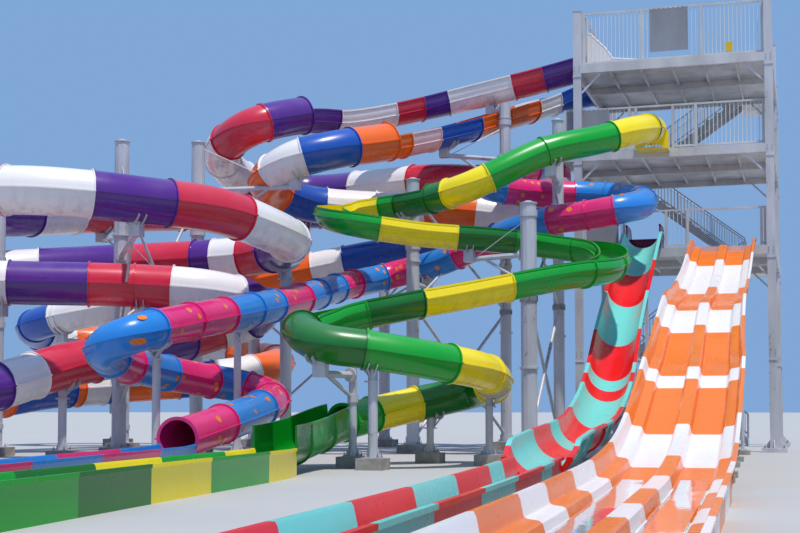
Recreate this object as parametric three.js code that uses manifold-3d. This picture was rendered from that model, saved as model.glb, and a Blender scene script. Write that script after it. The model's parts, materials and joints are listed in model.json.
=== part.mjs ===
// Water slide tower: a steel access tower with six fibreglass slides and the columns that carry them.
// Every size below is in metres of the real tower. The whole group is a 1:2 scale model in millimetres.
// X runs along the tower's front, Y away from the slides' run-outs, Z up. The origin is the underside
// of the base plate of the tower's front left column.
import * as THREE from 'three';
import { mergeVertices } from 'three/addons/utils/BufferGeometryUtils.js';
import Module from 'manifold-3d';

const wasm = await Module();
wasm.setup();

const MODEL_MM_PER_METRE = 500;
// Clearance between pieces that touch, 0.3 mm on the model
const GAP = 0.0006;

// Tower frame
const TOWER_WIDTH = 7.15;
const TOWER_DEPTH = 7.2;
const STAIR_DEPTH = 3.0;
const COLUMN_SIZE = 0.3;
const COLUMN_TOP = 17.0;
const STAIR_COLUMN_TOP = 15.9;
const BASE_PLATE = { size: 0.9, height: 0.16 };
const DECK_TOPS = { top: 14.88, middle: 11.45, low: 7.65, half: 3.85 };
const FASCIA_DEPTH = 0.33;
const FASCIA_WIDTH = 0.12;
const PLATE_THICKNESS = 0.08;
const JOIST = { width: 0.08, depth: 0.22, spacing: 1.19 };
const MIDDLE_DECK_OVERHANG = 0.45;
const RAIL_HEIGHTS = { top: 2.1, middle: 1.75, low: 1.5 };
const RAIL = { size: 0.07, post: 0.1, lift: 0.13, bays: 3 };

// Stairs behind the decks
const STEPS_PER_FLIGHT = 12;
const FLIGHT_WIDTH = 1.3;
const LANDING_LENGTH = 1.3;
const LANDING_THICKNESS = 0.2;
const FLIGHT_THICKNESS = 0.16;
// Free space beside each flight
const FLIGHT_PLAY = 0.05;

// Slides
const WALL = 0.045;
const RAFT_RADIUS = 0.7;
const BODY_RADIUS = 0.51;
const TURN_STEP = THREE.MathUtils.degToRad(19);
const LONGEST_STEP = 5.5;
const SHORTEST_STEP = 0.35;
const SAMPLES_PER_SPAN = 16;

const COLOURS = {
  steel: 0xb9bec8,
  deck: 0xc6c8cc,
  purple: 0x5b2a7d,
  blue: 0x1c4fa3,
  green: 0x109a2c,
  pink: 0xd0267c,
  red: 0xd8262b,
  orange: 0xf07a12,
};

const tower = new THREE.Group();

function addPiece(name, geometry, colour, roughness = 0.45, metalness = 0) {
  geometry.computeVertexNormals();
  const material = new THREE.MeshStandardMaterial({ color: colour, roughness, metalness });
  const mesh = new THREE.Mesh(geometry, material);
  mesh.name = name;
  tower.add(mesh);
  return mesh;
}

// Solids

function toSolid(geometry) {
  const bare = geometry.clone();
  bare.deleteAttribute('normal');
  bare.deleteAttribute('uv');
  const merged = mergeVertices(bare, 1e-6);
  const vertProperties = new Float32Array(merged.attributes.position.array);
  const triVerts = new Uint32Array(merged.index.array);
  return new wasm.Manifold(new wasm.Mesh({ numProp: 3, vertProperties, triVerts }));
}

function toGeometry(solid) {
  const mesh = solid.getMesh();
  const geometry = new THREE.BufferGeometry();
  geometry.setAttribute('position', new THREE.BufferAttribute(new Float32Array(mesh.vertProperties), 3));
  geometry.setIndex(new THREE.BufferAttribute(new Uint32Array(mesh.triVerts), 1));
  return geometry;
}

function join(solids) {
  return solids.reduce((whole, solid) => whole.add(solid));
}

function cut(solid, tools) {
  return tools.reduce((rest, tool) => rest.subtract(tool), solid);
}

// A box from its lowest to its highest corner
function box(low, high) {
  const size = high.map((value, axis) => value - low[axis]);
  const geometry = new THREE.BoxGeometry(...size);
  geometry.translate(...low.map((value, axis) => value + size[axis] / 2));
  return toSolid(geometry);
}

// A round bar between two points
function bar(from, to, radius, sides = 8) {
  const start = new THREE.Vector3(...from);
  const end = new THREE.Vector3(...to);
  const geometry = new THREE.CylinderGeometry(radius, radius, start.distanceTo(end), sides);
  const along = end.clone().sub(start).normalize();
  geometry.applyQuaternion(new THREE.Quaternion().setFromUnitVectors(new THREE.Vector3(0, 1, 0), along));
  geometry.translate(...start.add(end).multiplyScalar(0.5).toArray());
  return toSolid(geometry);
}

// A flat outline in the XZ plane, pushed along +Y
function plateAlongY(outline, fromY, toY) {
  const shape = new THREE.Shape(outline.map(([x, z]) => new THREE.Vector2(x, z)));
  const geometry = new THREE.ExtrudeGeometry(shape, { depth: toY - fromY, bevelEnabled: false });
  geometry.rotateX(Math.PI / 2);
  geometry.translate(0, toY, 0);
  return toSolid(geometry);
}

// Slide sections: matching points of the outer and the inner skin, as [sideways, up] from the centre line

function arcSection(radius, wall, fromAngle, toAngle, parts) {
  const skin = (size) => {
    const points = [];
    for (let i = 0; i <= parts; i += 1) {
      const angle = fromAngle + ((toAngle - fromAngle) * i) / parts;
      points.push([size * Math.sin(angle), -size * Math.cos(angle)]);
    }
    return points;
  };
  return { outer: skin(radius), inner: skin(radius - wall), closed: false };
}

function tubeSection(radius, sides) {
  const ring = arcSection(radius, WALL, -Math.PI, Math.PI, sides);
  ring.outer.pop();
  ring.inner.pop();
  ring.closed = true;
  return ring;
}

function flumeSection(radius, rimDegrees, parts) {
  const rim = THREE.MathUtils.degToRad(rimDegrees);
  return arcSection(radius, WALL, -rim, rim, parts);
}

// A half round floor between upright walls
function troughSection(radius, wallHeight, parts) {
  const half = arcSection(radius, WALL, -Math.PI / 2, Math.PI / 2, parts);
  const walls = (points) => {
    const reach = points[points.length - 1][0];
    return [[-reach, wallHeight], ...points, [reach, wallHeight]];
  };
  return { outer: walls(half.outer), inner: walls(half.inner), closed: false };
}

// A half pipe whose centre line is the lowest line of its floor
function halfPipeSection(radius, rimDegrees, parts) {
  const section = flumeSection(radius, rimDegrees, parts);
  const lift = ([sideways, upwards]) => [sideways, upwards + radius - WALL];
  return { outer: section.outer.map(lift), inner: section.inner.map(lift), closed: false };
}

// A lane with a flat floor and nearly upright walls, for the run-outs near the ground.
// Its floor lies at the given height above the slide's line, or below it where that is negative.
function laneSection(floorHalf, rimHalf, height, below, floor = 0) {
  const thick = WALL * 1.5;
  return {
    outer: [
      [-rimHalf - thick, floor + height],
      [-floorHalf - thick, floor - below],
      [floorHalf + thick, floor - below],
      [rimHalf + thick, floor + height],
    ],
    inner: [
      [-rimHalf, floor + height],
      [-floorHalf, floor],
      [floorHalf, floor],
      [rimHalf, floor + height],
    ],
    floor,
    closed: false,
  };
}

// Two lanes side by side with a raised divider and flared side walls
function doubleLaneSection() {
  const floorOut = 0.95;
  const rim = 1.08;
  const height = 0.46;
  const ridgeFoot = 0.24;
  const ridgeTop = 0.15;
  const ridgeHeight = 0.28;
  const below = 0.08;
  return {
    outer: [
      [-rim - 0.08, height],
      [-floorOut - 0.08, -below],
      [-ridgeFoot, -below],
      [-ridgeTop, -below],
      [ridgeTop, -below],
      [ridgeFoot, -below],
      [floorOut + 0.08, -below],
      [rim + 0.08, height],
    ],
    inner: [
      [-rim, height],
      [-floorOut, 0],
      [-ridgeFoot, 0],
      [-ridgeTop, ridgeHeight],
      [ridgeTop, ridgeHeight],
      [ridgeFoot, 0],
      [floorOut, 0],
      [rim, height],
    ],
    floor: 0,
    closed: false,
  };
}

// The places along a slide where its section stands, closer together in the turns
function stations(curve, fromWaypoint, toWaypoint, spans, marks = []) {
  const steps = Math.max(2, Math.round((toWaypoint - fromWaypoint) * SAMPLES_PER_SPAN));
  const found = [];
  let last = null;
  for (let i = 0; i <= steps; i += 1) {
    const waypoint = fromWaypoint + ((toWaypoint - fromWaypoint) * i) / steps;
    const point = curve.getPoint(waypoint / spans);
    const tangent = curve.getTangent(waypoint / spans);
    const turned = last ? tangent.angleTo(last.tangent) : Infinity;
    const moved = last ? point.distanceTo(last.point) : Infinity;
    const isEnd = i === steps;
    const isMark = marks.some((mark) => Math.abs(mark - waypoint) * SAMPLES_PER_SPAN < 0.5);
    if (turned >= TURN_STEP || moved >= LONGEST_STEP || isMark || isEnd) {
      if (isEnd && found.length > 1 && moved < SHORTEST_STEP) found.pop();
      last = { point, tangent, waypoint };
      found.push(last);
    }
  }
  found[0].point.addScaledVector(found[0].tangent, GAP / 2);
  found[found.length - 1].point.addScaledVector(found[found.length - 1].tangent, -GAP / 2);
  return found;
}

// Sweeps a section along the stations as one closed skin. A section may change with the waypoint.
// On the ground all that lies below its floor is drawn down to z = 0.
function sweep(places, sectionAt, onGround = false) {
  const section = sectionAt(places[0].waypoint);
  const count = section.outer.length;
  const positions = [];
  const indices = [];
  places.forEach(({ point, tangent, waypoint }) => {
    const { outer, inner } = sectionAt(waypoint);
    const side = new THREE.Vector3().crossVectors(tangent, new THREE.Vector3(0, 0, 1)).normalize();
    const up = new THREE.Vector3().crossVectors(side, tangent).normalize();
    [...outer, ...inner].forEach(([sideways, upwards]) => {
      const corner = point.clone().addScaledVector(side, sideways).addScaledVector(up, upwards);
      if (onGround && upwards < section.floor) corner.z = 0;
      positions.push(...corner.toArray());
    });
  });
  const at = (place, skin, i) => place * 2 * count + skin * count + (i % count);
  const quad = (a, b, c, d) => indices.push(a, c, b, a, d, c);
  const spans = section.closed ? count : count - 1;
  for (let place = 0; place + 1 < places.length; place += 1) {
    for (let i = 0; i < spans; i += 1) {
      quad(at(place, 0, i), at(place, 0, i + 1), at(place + 1, 0, i + 1), at(place + 1, 0, i));
      quad(at(place, 1, i + 1), at(place, 1, i), at(place + 1, 1, i), at(place + 1, 1, i + 1));
    }
    if (!section.closed) {
      const end = count - 1;
      quad(at(place, 0, 0), at(place + 1, 0, 0), at(place + 1, 1, 0), at(place, 1, 0));
      quad(at(place, 0, end), at(place, 1, end), at(place + 1, 1, end), at(place + 1, 0, end));
    }
  }
  const last = places.length - 1;
  for (let i = 0; i < spans; i += 1) {
    quad(at(0, 0, i), at(0, 1, i), at(0, 1, i + 1), at(0, 0, i + 1));
    quad(at(last, 0, i), at(last, 0, i + 1), at(last, 1, i + 1), at(last, 1, i));
  }
  const geometry = new THREE.BufferGeometry();
  geometry.setAttribute('position', new THREE.Float32BufferAttribute(positions, 3));
  geometry.setIndex(indices);
  return geometry;
}

const RAFT_TUBE = tubeSection(RAFT_RADIUS, 10);
const RAFT_FLUME = flumeSection(RAFT_RADIUS, 100, 7);
const BODY_TUBE = tubeSection(BODY_RADIUS, 8);
const BODY_FLUME = flumeSection(BODY_RADIUS, 122, 7);
const BODY_TROUGH = troughSection(BODY_RADIUS, 0.5, 6);
const GREEN_LANE = laneSection(0.4, 0.47, 0.5, 0.12, -0.51);
const PINK_LANE = laneSection(0.38, 0.44, 0.5, 0.12, -0.63);
const RED_RADIUS = 0.66;
const RED_RIM = 86;
const RED_FLUME = halfPipeSection(RED_RADIUS, RED_RIM, 7);
const RED_LANE = laneSection(0.36, 0.43, 0.4, 0.1);
const DOUBLE_LANE = doubleLaneSection();

// The rim angle of the red half pipe by waypoint: its walls rise where it flattens out, then drop to the lane
const RED_RIMS = [[6.3, RED_RIM], [7.3, 92], [8.7, 92], [8.95, 66]];
const RED_MARKS = RED_RIMS.map(([mark]) => mark);

function redFlume(waypoint) {
  const next = RED_RIMS.findIndex(([mark]) => waypoint < mark);
  if (next === 0) return RED_FLUME;
  const [fromMark, fromRim] = RED_RIMS.at(next === -1 ? -1 : next - 1);
  const [toMark, toRim] = RED_RIMS.at(next);
  const share = next === -1 ? 0 : (waypoint - fromMark) / (toMark - fromMark);
  return halfPipeSection(RED_RADIUS, fromRim + (toRim - fromRim) * share, 7);
}

// Start tubs. A profile runs from the flume over the deck, as [x, height above the deck].
const RAFT_TUB = {
  wall: 0.06,
  play: 0.02,
  reach: [-0.27, 2.3],
  profile: [[-0.27, 0], [2.3, 0], [2.3, 0.27], [1.25, 0.4], [0.95, 0.85], [0.35, 1.45], [-0.27, 1.45]],
};
const BODY_TUB_WALL = 0.06;
const BODY_TUB_BORE = 0.42;
const GREEN_TUB = {
  low: [2.3, -0.95, 11.3],
  high: [3.5, -0.15 - GAP, 12],
  entryLow: [2.36, -0.5, DECK_TOPS.middle],
  entryHigh: [3.44, 0, 13],
};
const PINK_TUB = {
  low: [-1.8, 0.65, 10.66],
  high: [-0.6 - GAP, 1.9, 11.75],
  entryLow: [-1, 0.76, DECK_TOPS.middle],
  entryHigh: [-0.5, 1.84, 13],
};

const RED_TUB = {
  half: 0.65,
  wall: 0.06,
  front: -0.4,
  floorFront: -0.1,
  rear: 0.95,
  height: 0.85,
  back: 0.45,
};

// Centre lines, from the deck down, and the stretches that each slide is bolted together from
const SLIDES = {
  purple: {
    colour: COLOURS.purple,
    radius: RAFT_RADIUS,
    leaves: [-1, 0, 0],
    tub: raftTub,
    waypoints: [
      [-0.15, 1.5, 15.3], [-2.4, 1.3, 14.8], [-5.8, 0.8, 14.1], [-8.9, -1.7, 13.1], [-10, -3.6, 12.8],
      [-11.4, -5.3, 12.1], [-12.9, -4.4, 11.6], [-13.7, -2.1, 11.2], [-13.2, 0, 10.8], [-11.6, 1.6, 10.75],
      [-8.6, 0.9, 10.7], [-5.9, 0.1, 10.65], [-4.2, 0.7, 10.6], [-3.8, 2.8, 10.55], [-5.1, 5.2, 10.5],
      [-8.9, 6.1, 10.45], [-14.5, 3.4, 10.2], [-18.1, -4.4, 9.2], [-19, -9.9, 8.4], [-19.2, -13.9, 8.1],
      [-17.5, -16.9, 7.9], [-14.9, -18.1, 7.85], [-12.9, -18.1, 7.8], [-11.5, -17.3, 7.75],
      [-10.4, -16.2, 7.7], [-8.8, -14.2, 7.6], [-8, -12.2, 7.3], [-8.1, -9.8, 7.1], [-9.8, -7.9, 7],
      [-12.1, -7.7, 6.9], [-14.8, -8.1, 6.8], [-18.9, -9.9, 6.5], [-20.4, -12.4, 6.1], [-19.9, -14.6, 5.75],
      [-18.2, -15, 5.65], [-16.2, -14.2, 5.6], [-12.4, -12.5, 5.55], [-10.3, -11.6, 5.4],
      [-9.4, -10.2, 5.15], [-9.8, -8.5, 4.8], [-11.2, -8.8, 4.3], [-12.6, -12.2, 3.4], [-13.7, -14.6, 2.9],
      [-14.3, -16.9, 2.3], [-14.8, -19.1, 1.9], [-15.1, -21.3, 1.4], [-15.5, -24, 0.95], [-15.8, -28, 0.7],
    ],
    stretches: [
      { name: 'purple_slide_start_flume', from: 0, to: 4, section: RAFT_FLUME },
      { name: 'purple_slide_upper_turns', from: 4, to: 20, section: RAFT_TUBE },
      { name: 'purple_slide_lower_loops', from: 20, to: 36, section: RAFT_TUBE },
      { name: 'purple_slide_exit', from: 36, to: 47, section: RAFT_TUBE },
    ],
  },
  blue: {
    colour: COLOURS.blue,
    radius: RAFT_RADIUS,
    leaves: [-1, 0, 0],
    tub: raftTub,
    waypoints: [
      [-0.15, 5.6, 15.25], [-1.6, 4.9, 14.85], [-2.9, 2.9, 14], [-4.7, -0.4, 12.7], [-6.6, -3.6, 11.6],
      [-8, -5.6, 11], [-9.3, -6.2, 10.6], [-10.5, -5.7, 10.1], [-10.9, -4.2, 9.8], [-9.9, -2.8, 9.5],
      [-7.3, -1.8, 9.3], [-4.7, -1.5, 9.2], [-2.4, -0.9, 8.9], [-1.5, 0.5, 8.7], [-2.6, 2, 8.5],
      [-5.1, 2.1, 8.3], [-8.7, 1.7, 7.9], [-13.2, 1.2, 7.1], [-18, -0.2, 6.2], [-21.9, -0.8, 5.5],
      [-23.9, 0.1, 5.1], [-24.1, 2.1, 4.8], [-22, 3.8, 4.6], [-18.8, 4.3, 4.4], [-15.1, 3.8, 3.9],
      [-13.1, 1.8, 3.5], [-13.4, -0.4, 3.1], [-14.9, -1.9, 2.8], [-17.5, -4.2, 2.5], [-18.8, -6.7, 2.3],
      [-19.4, -9, 2], [-19.7, -12.2, 1.7], [-19.7, -15.3, 1.3], [-19.5, -19, 0.95], [-19.3, -23, 0.7],
    ],
    stretches: [
      { name: 'blue_slide_start_flume', from: 0, to: 4, section: RAFT_FLUME },
      { name: 'blue_slide_upper_turns', from: 4, to: 19, section: RAFT_TUBE },
      { name: 'blue_slide_lower_turns', from: 19, to: 34, section: RAFT_TUBE },
    ],
  },
  green: {
    colour: COLOURS.green,
    radius: BODY_RADIUS,
    leaves: [0, -1, 0],
    tub: (start) => bodyTub(GREEN_TUB, start),
    waypoints: [
      [2.9, -0.9, 12], [2.95, -2.5, 11.75], [2.5, -3.9, 11.4], [1.6, -4.8, 11], [-0.2, -6.1, 10.4],
      [-2.5, -7.1, 9.2], [-4.1, -6.5, 8.9], [-6.2, -5.5, 8.85], [-7.4, -5.8, 8.7], [-7.6, -7.3, 8.4],
      [-6.6, -8.3, 8], [-4.2, -7.6, 7.6], [-1.6, -6.7, 7.4], [0.5, -6.5, 7.1], [1.9, -7.2, 6.8],
      [2.5, -8.7, 6.3], [2.4, -10.4, 5.9], [1.5, -12.1, 5.6], [-1, -14.4, 4.9], [-2.9, -16, 4.4],
      [-4.2, -16.8, 4], [-4.6, -17.8, 3.7], [-3.8, -18.6, 3.3], [-2.5, -18.2, 3.1], [-0.9, -17, 2.8],
      [-0.2, -15.5, 2.6], [-0.3, -13.7, 2.3], [-1.2, -12.7, 2.1], [-3.1, -13.9, 1.6], [-4.1, -15.9, 1.2],
      [-4.1, -19, 0.8], [-3.62, -22.2, 0.66], [-3.38, -23.6, 0.66], [-2.7, -30.5, 0.66], [-1.9, -38, 0.65],
    ],
    stretches: [
      { name: 'green_slide_start', from: 0, to: 6, section: BODY_TUBE },
      { name: 'green_slide_upper_flume', from: 6, to: 21, section: BODY_FLUME },
      { name: 'green_slide_lower_tube', from: 21, to: 29, section: BODY_TUBE },
      { name: 'green_slide_end_flume', from: 29, to: 31, section: BODY_TROUGH },
      { name: 'green_slide_run_out', from: 31, to: 34, section: GREEN_LANE, onGround: true },
    ],
  },
  pink: {
    colour: COLOURS.pink,
    radius: BODY_RADIUS,
    leaves: [0, -1, 0],
    tub: (start) => bodyTub(PINK_TUB, start),
    waypoints: [
      [-1.2, 0.7, 11.25], [-1.6, -1, 10.75], [-2.2, -2.5, 10.3], [-2.9, -3.4, 9.9], [-2.3, -4, 9.55],
      [-1, -3.1, 9.45], [0.7, -2.5, 9.4], [2.2, -2.8, 9.2], [2.9, -4, 8.8], [2.3, -5.2, 8.45],
      [1.1, -5.1, 8.3], [-0.1, -4.95, 8.2], [-1.2, -4.4, 8.05], [-2.8, -3.6, 7.7], [-4.6, -3, 7.1],
      [-6.8, -2.9, 6.6], [-7.7, -5, 6.1], [-7.9, -9.1, 5.3], [-7.8, -13.6, 4.6], [-8.1, -18.1, 3.9],
      [-8.4, -20.2, 3.5], [-9.1, -20.3, 3.2], [-9.7, -18.6, 2.9], [-9.8, -16.1, 2.7], [-9.4, -14.2, 2.5],
      [-8.6, -12.8, 2.3], [-7.5, -13, 2], [-6.9, -14.7, 1.7], [-6.6, -17.7, 1.3], [-6.7, -21, 0.83],
      [-6.35, -23.2, 0.79], [-5.7, -26.8, 0.79], [-4.9, -31.4, 0.79], [-4.2, -36, 0.77],
    ],
    stretches: [
      { name: 'pink_slide_upper_loops', from: 0, to: 10, section: BODY_TUBE },
      { name: 'pink_slide_lower_loop', from: 10, to: 29, section: BODY_TUBE },
      { name: 'pink_slide_run_out', from: 29, to: 33, section: PINK_LANE, onGround: true },
    ],
  },
  red: {
    colour: COLOURS.red,
    radius: 0,
    leaves: [0, -1, 0],
    tub: redTub,
    waypoints: [
      [2.5, -0.15, 7.62], [2.5, -0.6, 7.62], [2.55, -1.6, 7.28], [2.6, -4.5, 5.85], [2.62, -8.5, 3.65],
      [2.78, -12.2, 1.9], [2.87, -15.3, 1.02], [2.98, -18.5, 0.62], [3.08, -22, 0.44], [3.3, -26, 0.25],
      [3.65, -32, 0.16], [4.15, -42, 0.12],
    ],
    stretches: [
      { name: 'red_slide_drop', from: 0, to: 9, section: RED_FLUME, sectionAt: redFlume, marks: RED_MARKS },
      { name: 'red_slide_run_out', from: 9, to: 10, section: RED_LANE, onGround: true },
      { name: 'red_slide_run_out_end', from: 10, to: 11, section: RED_LANE, onGround: true },
    ],
    trestle: { name: 'red_slide_trestle', beams: [0], from: 1, to: 8.6, legs: [3, 4, 5, 6, 7] },
  },
  orange: {
    colour: COLOURS.orange,
    radius: 1.3,
    leaves: [0, -1, 0],
    waypoints: [
      [5.45, -0.15, 7.42], [5.45, -0.6, 7.42], [5.45, -1.5, 7.15], [5.45, -5, 5.9], [5.5, -9.5, 4.85],
      [5.55, -12, 4.5], [5.6, -14.5, 3.75], [5.7, -17.6, 2.75], [5.8, -19.6, 2.4], [5.85, -22, 1.6],
      [5.9, -25, 0.75], [6, -28.5, 0.35], [6.15, -34, 0.18], [6.4, -42, 0.1],
    ],
    stretches: [
      { name: 'orange_slide_start_lanes', from: 0, to: 4, section: DOUBLE_LANE },
      { name: 'orange_slide_upper_lanes', from: 4, to: 7, section: DOUBLE_LANE },
      { name: 'orange_slide_lower_lanes', from: 7, to: 11, section: DOUBLE_LANE },
      { name: 'orange_slide_run_out', from: 11, to: 12.4, section: DOUBLE_LANE, onGround: true },
      { name: 'orange_slide_run_out_end', from: 12.4, to: 13, section: DOUBLE_LANE, onGround: true },
    ],
    trestle: {
      name: 'orange_slide_trestle',
      beams: [-0.7, 0.7],
      from: 1,
      to: 10.4,
      legs: [2.5, 4, 5.7, 8, 9],
    },
  },
};

function centreLine(slide) {
  const points = slide.waypoints.map((point) => new THREE.Vector3(...point));
  return new THREE.CatmullRomCurve3(points, false, 'centripetal');
}

// The stations of one stretch. A slide leaves its deck level and square to the deck's edge.
function stretchPlaces(slide, stretch) {
  const spans = slide.waypoints.length - 1;
  const places = stations(centreLine(slide), stretch.from, stretch.to, spans, stretch.marks);
  if (stretch === slide.stretches[0]) {
    places[0].tangent.set(...slide.leaves);
    places[0].point.set(...slide.waypoints[0]).addScaledVector(places[0].tangent, GAP);
  }
  return places;
}

// The room that each slide takes up, a touch larger than its skin, to cut its supports clear
function slideRoom(slide) {
  return slide.stretches.map((stretch) => {
    const grown = stretch.section.outer.map(([sideways, upwards]) => {
      const length = Math.hypot(sideways, upwards);
      const factor = 1 + GAP / length;
      return [sideways * factor, upwards * factor];
    });
    const places = stretchPlaces(slide, stretch);
    const last = places[places.length - 1];
    places[0].point.addScaledVector(places[0].tangent, -1.5 * GAP);
    last.point.addScaledVector(last.tangent, 1.5 * GAP);
    return toSolid(solidSweep(places, grown));
  });
}

// Sweeps a filled outline along the stations
function solidSweep(places, outline) {
  const count = outline.length;
  const positions = [];
  const indices = [];
  places.forEach(({ point, tangent }) => {
    const side = new THREE.Vector3().crossVectors(tangent, new THREE.Vector3(0, 0, 1)).normalize();
    const up = new THREE.Vector3().crossVectors(side, tangent).normalize();
    outline.forEach(([sideways, upwards]) => {
      const corner = point.clone().addScaledVector(side, sideways).addScaledVector(up, upwards);
      positions.push(...corner.toArray());
    });
  });
  for (let place = 0; place + 1 < places.length; place += 1) {
    for (let i = 0; i < count; i += 1) {
      const a = place * count + i;
      const b = place * count + ((i + 1) % count);
      indices.push(a, b + count, b, a, a + count, b + count);
    }
  }
  const flat = outline.map(([sideways, upwards]) => new THREE.Vector2(sideways, upwards));
  const lastStart = (places.length - 1) * count;
  THREE.ShapeUtils.triangulateShape(flat, []).forEach(([a, b, c]) => {
    indices.push(a, b, c);
    indices.push(lastStart + a, lastStart + c, lastStart + b);
  });
  const geometry = new THREE.BufferGeometry();
  geometry.setAttribute('position', new THREE.Float32BufferAttribute(positions, 3));
  geometry.setIndex(indices);
  return geometry;
}

const slideRooms = Object.values(SLIDES).flatMap(slideRoom);

// A raft tub on the top deck: a floor between two side walls that step down away from the flume
function raftTub([, y, z]) {
  const floor = DECK_TOPS.top + GAP;
  const outline = RAFT_TUB.profile.map(([x, up]) => [x, floor + up]);
  const half = RAFT_RADIUS + RAFT_TUB.play;
  const [outer, inner] = RAFT_TUB.reach;
  return [
    plateAlongY(outline, y - half, y - half + RAFT_TUB.wall),
    plateAlongY(outline, y + half - RAFT_TUB.wall, y + half),
    box([outer, y - half, floor], [inner, y + half, floor + RAFT_TUB.wall]),
  ];
}

// A body tub: an open box with a hole for the tube in its front wall and one side cut down to the deck
function bodyTub({ low, high, entryLow, entryHigh }, [x, y, z]) {
  const innerLow = low.map((value) => value + BODY_TUB_WALL);
  const inner = box(innerLow, [high[0] - BODY_TUB_WALL, high[1] - BODY_TUB_WALL, high[2] + 1]);
  const bore = bar([x, y - BODY_RADIUS, z], [x, y + BODY_RADIUS, z], BODY_TUB_BORE, 12);
  return [cut(box(low, high), [inner, bore, box(entryLow, entryHigh)])];
}

// The red start tub on the low deck: two side walls, a floor and a low back wall to step over
function redTub([x]) {
  const { half, wall, front, floorFront, rear, height, back } = RED_TUB;
  const floor = DECK_TOPS.low + GAP;
  return [
    box([x - half, front, floor], [x - half + wall, rear, floor + height]),
    box([x + half - wall, front, floor], [x + half, rear, floor + height]),
    box([x - half, rear - wall, floor], [x + half, rear, floor + back]),
    box([x - half, floorFront, floor], [x + half, rear, floor + wall]),
  ];
}

function buildSlides() {
  Object.values(SLIDES).forEach((slide) => {
    slide.stretches.forEach((stretch) => {
      const sectionAt = stretch.sectionAt ?? (() => stretch.section);
      let geometry = sweep(stretchPlaces(slide, stretch), sectionAt, stretch.onGround);
      if (stretch === slide.stretches[0] && slide.tub) {
        geometry = toGeometry(join([toSolid(geometry), ...slide.tub(slide.waypoints[0])]));
      }
      addPiece(stretch.name, geometry, slide.colour, 0.25);
    });
  });
}

// Tower

function towerColumn(name, x, y, top) {
  const half = COLUMN_SIZE / 2;
  const plate = BASE_PLATE.size / 2;
  const shaft = box([x - half, y - half, 0], [x + half, y + half, top]);
  const foot = box([x - plate, y - plate, 0], [x + plate, y + plate, BASE_PLATE.height]);
  addPiece(name, toGeometry(shaft.add(foot)), COLOURS.steel, 0.5, 0.3);
}

function columnPlaces() {
  const rear = TOWER_DEPTH;
  const back = TOWER_DEPTH + STAIR_DEPTH;
  return [
    ['tower_column_front_left', 0, 0, COLUMN_TOP],
    ['tower_column_front_right', TOWER_WIDTH, 0, COLUMN_TOP],
    ['tower_column_middle_left', 0, rear, COLUMN_TOP],
    ['tower_column_middle_right', TOWER_WIDTH, rear, COLUMN_TOP],
    ['tower_column_rear_left', 0, back, STAIR_COLUMN_TOP],
    ['tower_column_rear_right', TOWER_WIDTH, back, STAIR_COLUMN_TOP],
  ];
}

// The room that the columns take up, a touch larger than they are, to cut the decks clear of them
function columnRooms() {
  const half = COLUMN_SIZE / 2 + GAP;
  return columnPlaces().map(([, x, y, top]) => box([x - half, y - half, -1], [x + half, y + half, top + 1]));
}

function deckFrame(level, leftEdge, landingSide) {
  const right = TOWER_WIDTH + COLUMN_SIZE / 2;
  const front = -COLUMN_SIZE / 2;
  const rear = TOWER_DEPTH + COLUMN_SIZE / 2;
  const under = level - FASCIA_DEPTH;
  const pieces = [box([leftEdge, front, level - PLATE_THICKNESS], [right, rear, level])];
  [front, TOWER_DEPTH / 2, rear - FASCIA_WIDTH].forEach((y) => {
    pieces.push(box([leftEdge, y, under], [right, y + FASCIA_WIDTH, level]));
  });
  [leftEdge, right - FASCIA_WIDTH].forEach((x) => {
    pieces.push(box([x, front, under], [x + FASCIA_WIDTH, rear, level]));
  });
  for (let x = JOIST.spacing; x < TOWER_WIDTH; x += JOIST.spacing) {
    const low = [x - JOIST.width / 2, front, level - JOIST.depth];
    pieces.push(box(low, [x + JOIST.width / 2, rear, level]));
  }
  const back = TOWER_DEPTH + STAIR_DEPTH + COLUMN_SIZE / 2;
  const leftLanding = [leftEdge, LANDING_LENGTH];
  const rightLanding = [TOWER_WIDTH - LANDING_LENGTH, right];
  const landingX = landingSide === 'left' ? leftLanding : rightLanding;
  pieces.push(box([landingX[0], rear - FASCIA_WIDTH, level - LANDING_THICKNESS], [landingX[1], back, level]));
  return cut(join(pieces), columnRooms());
}

// A rail inside the columns, round the front and the two sides of a deck. Its gaps lie below the top rail.
function deckRailing(name, level, height, leftEdge, frontGaps, leftGaps) {
  const half = RAIL.size / 2;
  const postHalf = RAIL.post / 2;
  const front = COLUMN_SIZE / 2 + RAIL.size;
  const left = leftEdge < -COLUMN_SIZE ? leftEdge + RAIL.size : front;
  const right = TOWER_WIDTH - front;
  const rear = TOWER_DEPTH - COLUMN_SIZE;
  const top = level + height;
  const ring = (z) => [
    box([left, front - half, z - half], [right, front + half, z + half]),
    box([left - half, front, z - half], [left + half, rear, z + half]),
    box([right - half, front, z - half], [right + half, rear, z + half]),
  ];
  const post = (x, y) => {
    return box([x - postHalf, y - postHalf, level + GAP], [x + postHalf, y + postHalf, top - half]);
  };
  const lower = ring(level + RAIL.lift);
  for (let i = 0; i <= RAIL.bays; i += 1) {
    const y = front + ((rear - front) * i) / RAIL.bays;
    lower.push(post(left + ((right - left) * i) / RAIL.bays, front), post(left, y), post(right, y));
  }
  const gaps = [
    ...frontGaps.map(([from, to]) => box([from, front - 1, level - 1], [to, front + 1, top])),
    ...leftGaps.map(([from, to]) => box([left - 1, from, level - 1], [left + 1, to, top])),
  ];
  const gateposts = [
    ...frontGaps.flatMap(([from, to]) => [post(from, front), post(to, front)]),
    ...leftGaps.flatMap(([from, to]) => [post(left, from), post(left, to)]),
  ];
  const whole = [cut(join(lower), gaps), ...gateposts, ...ring(top - half)];
  addPiece(name, toGeometry(join(whole)), COLOURS.deck, 0.5, 0.3);
}

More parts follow.
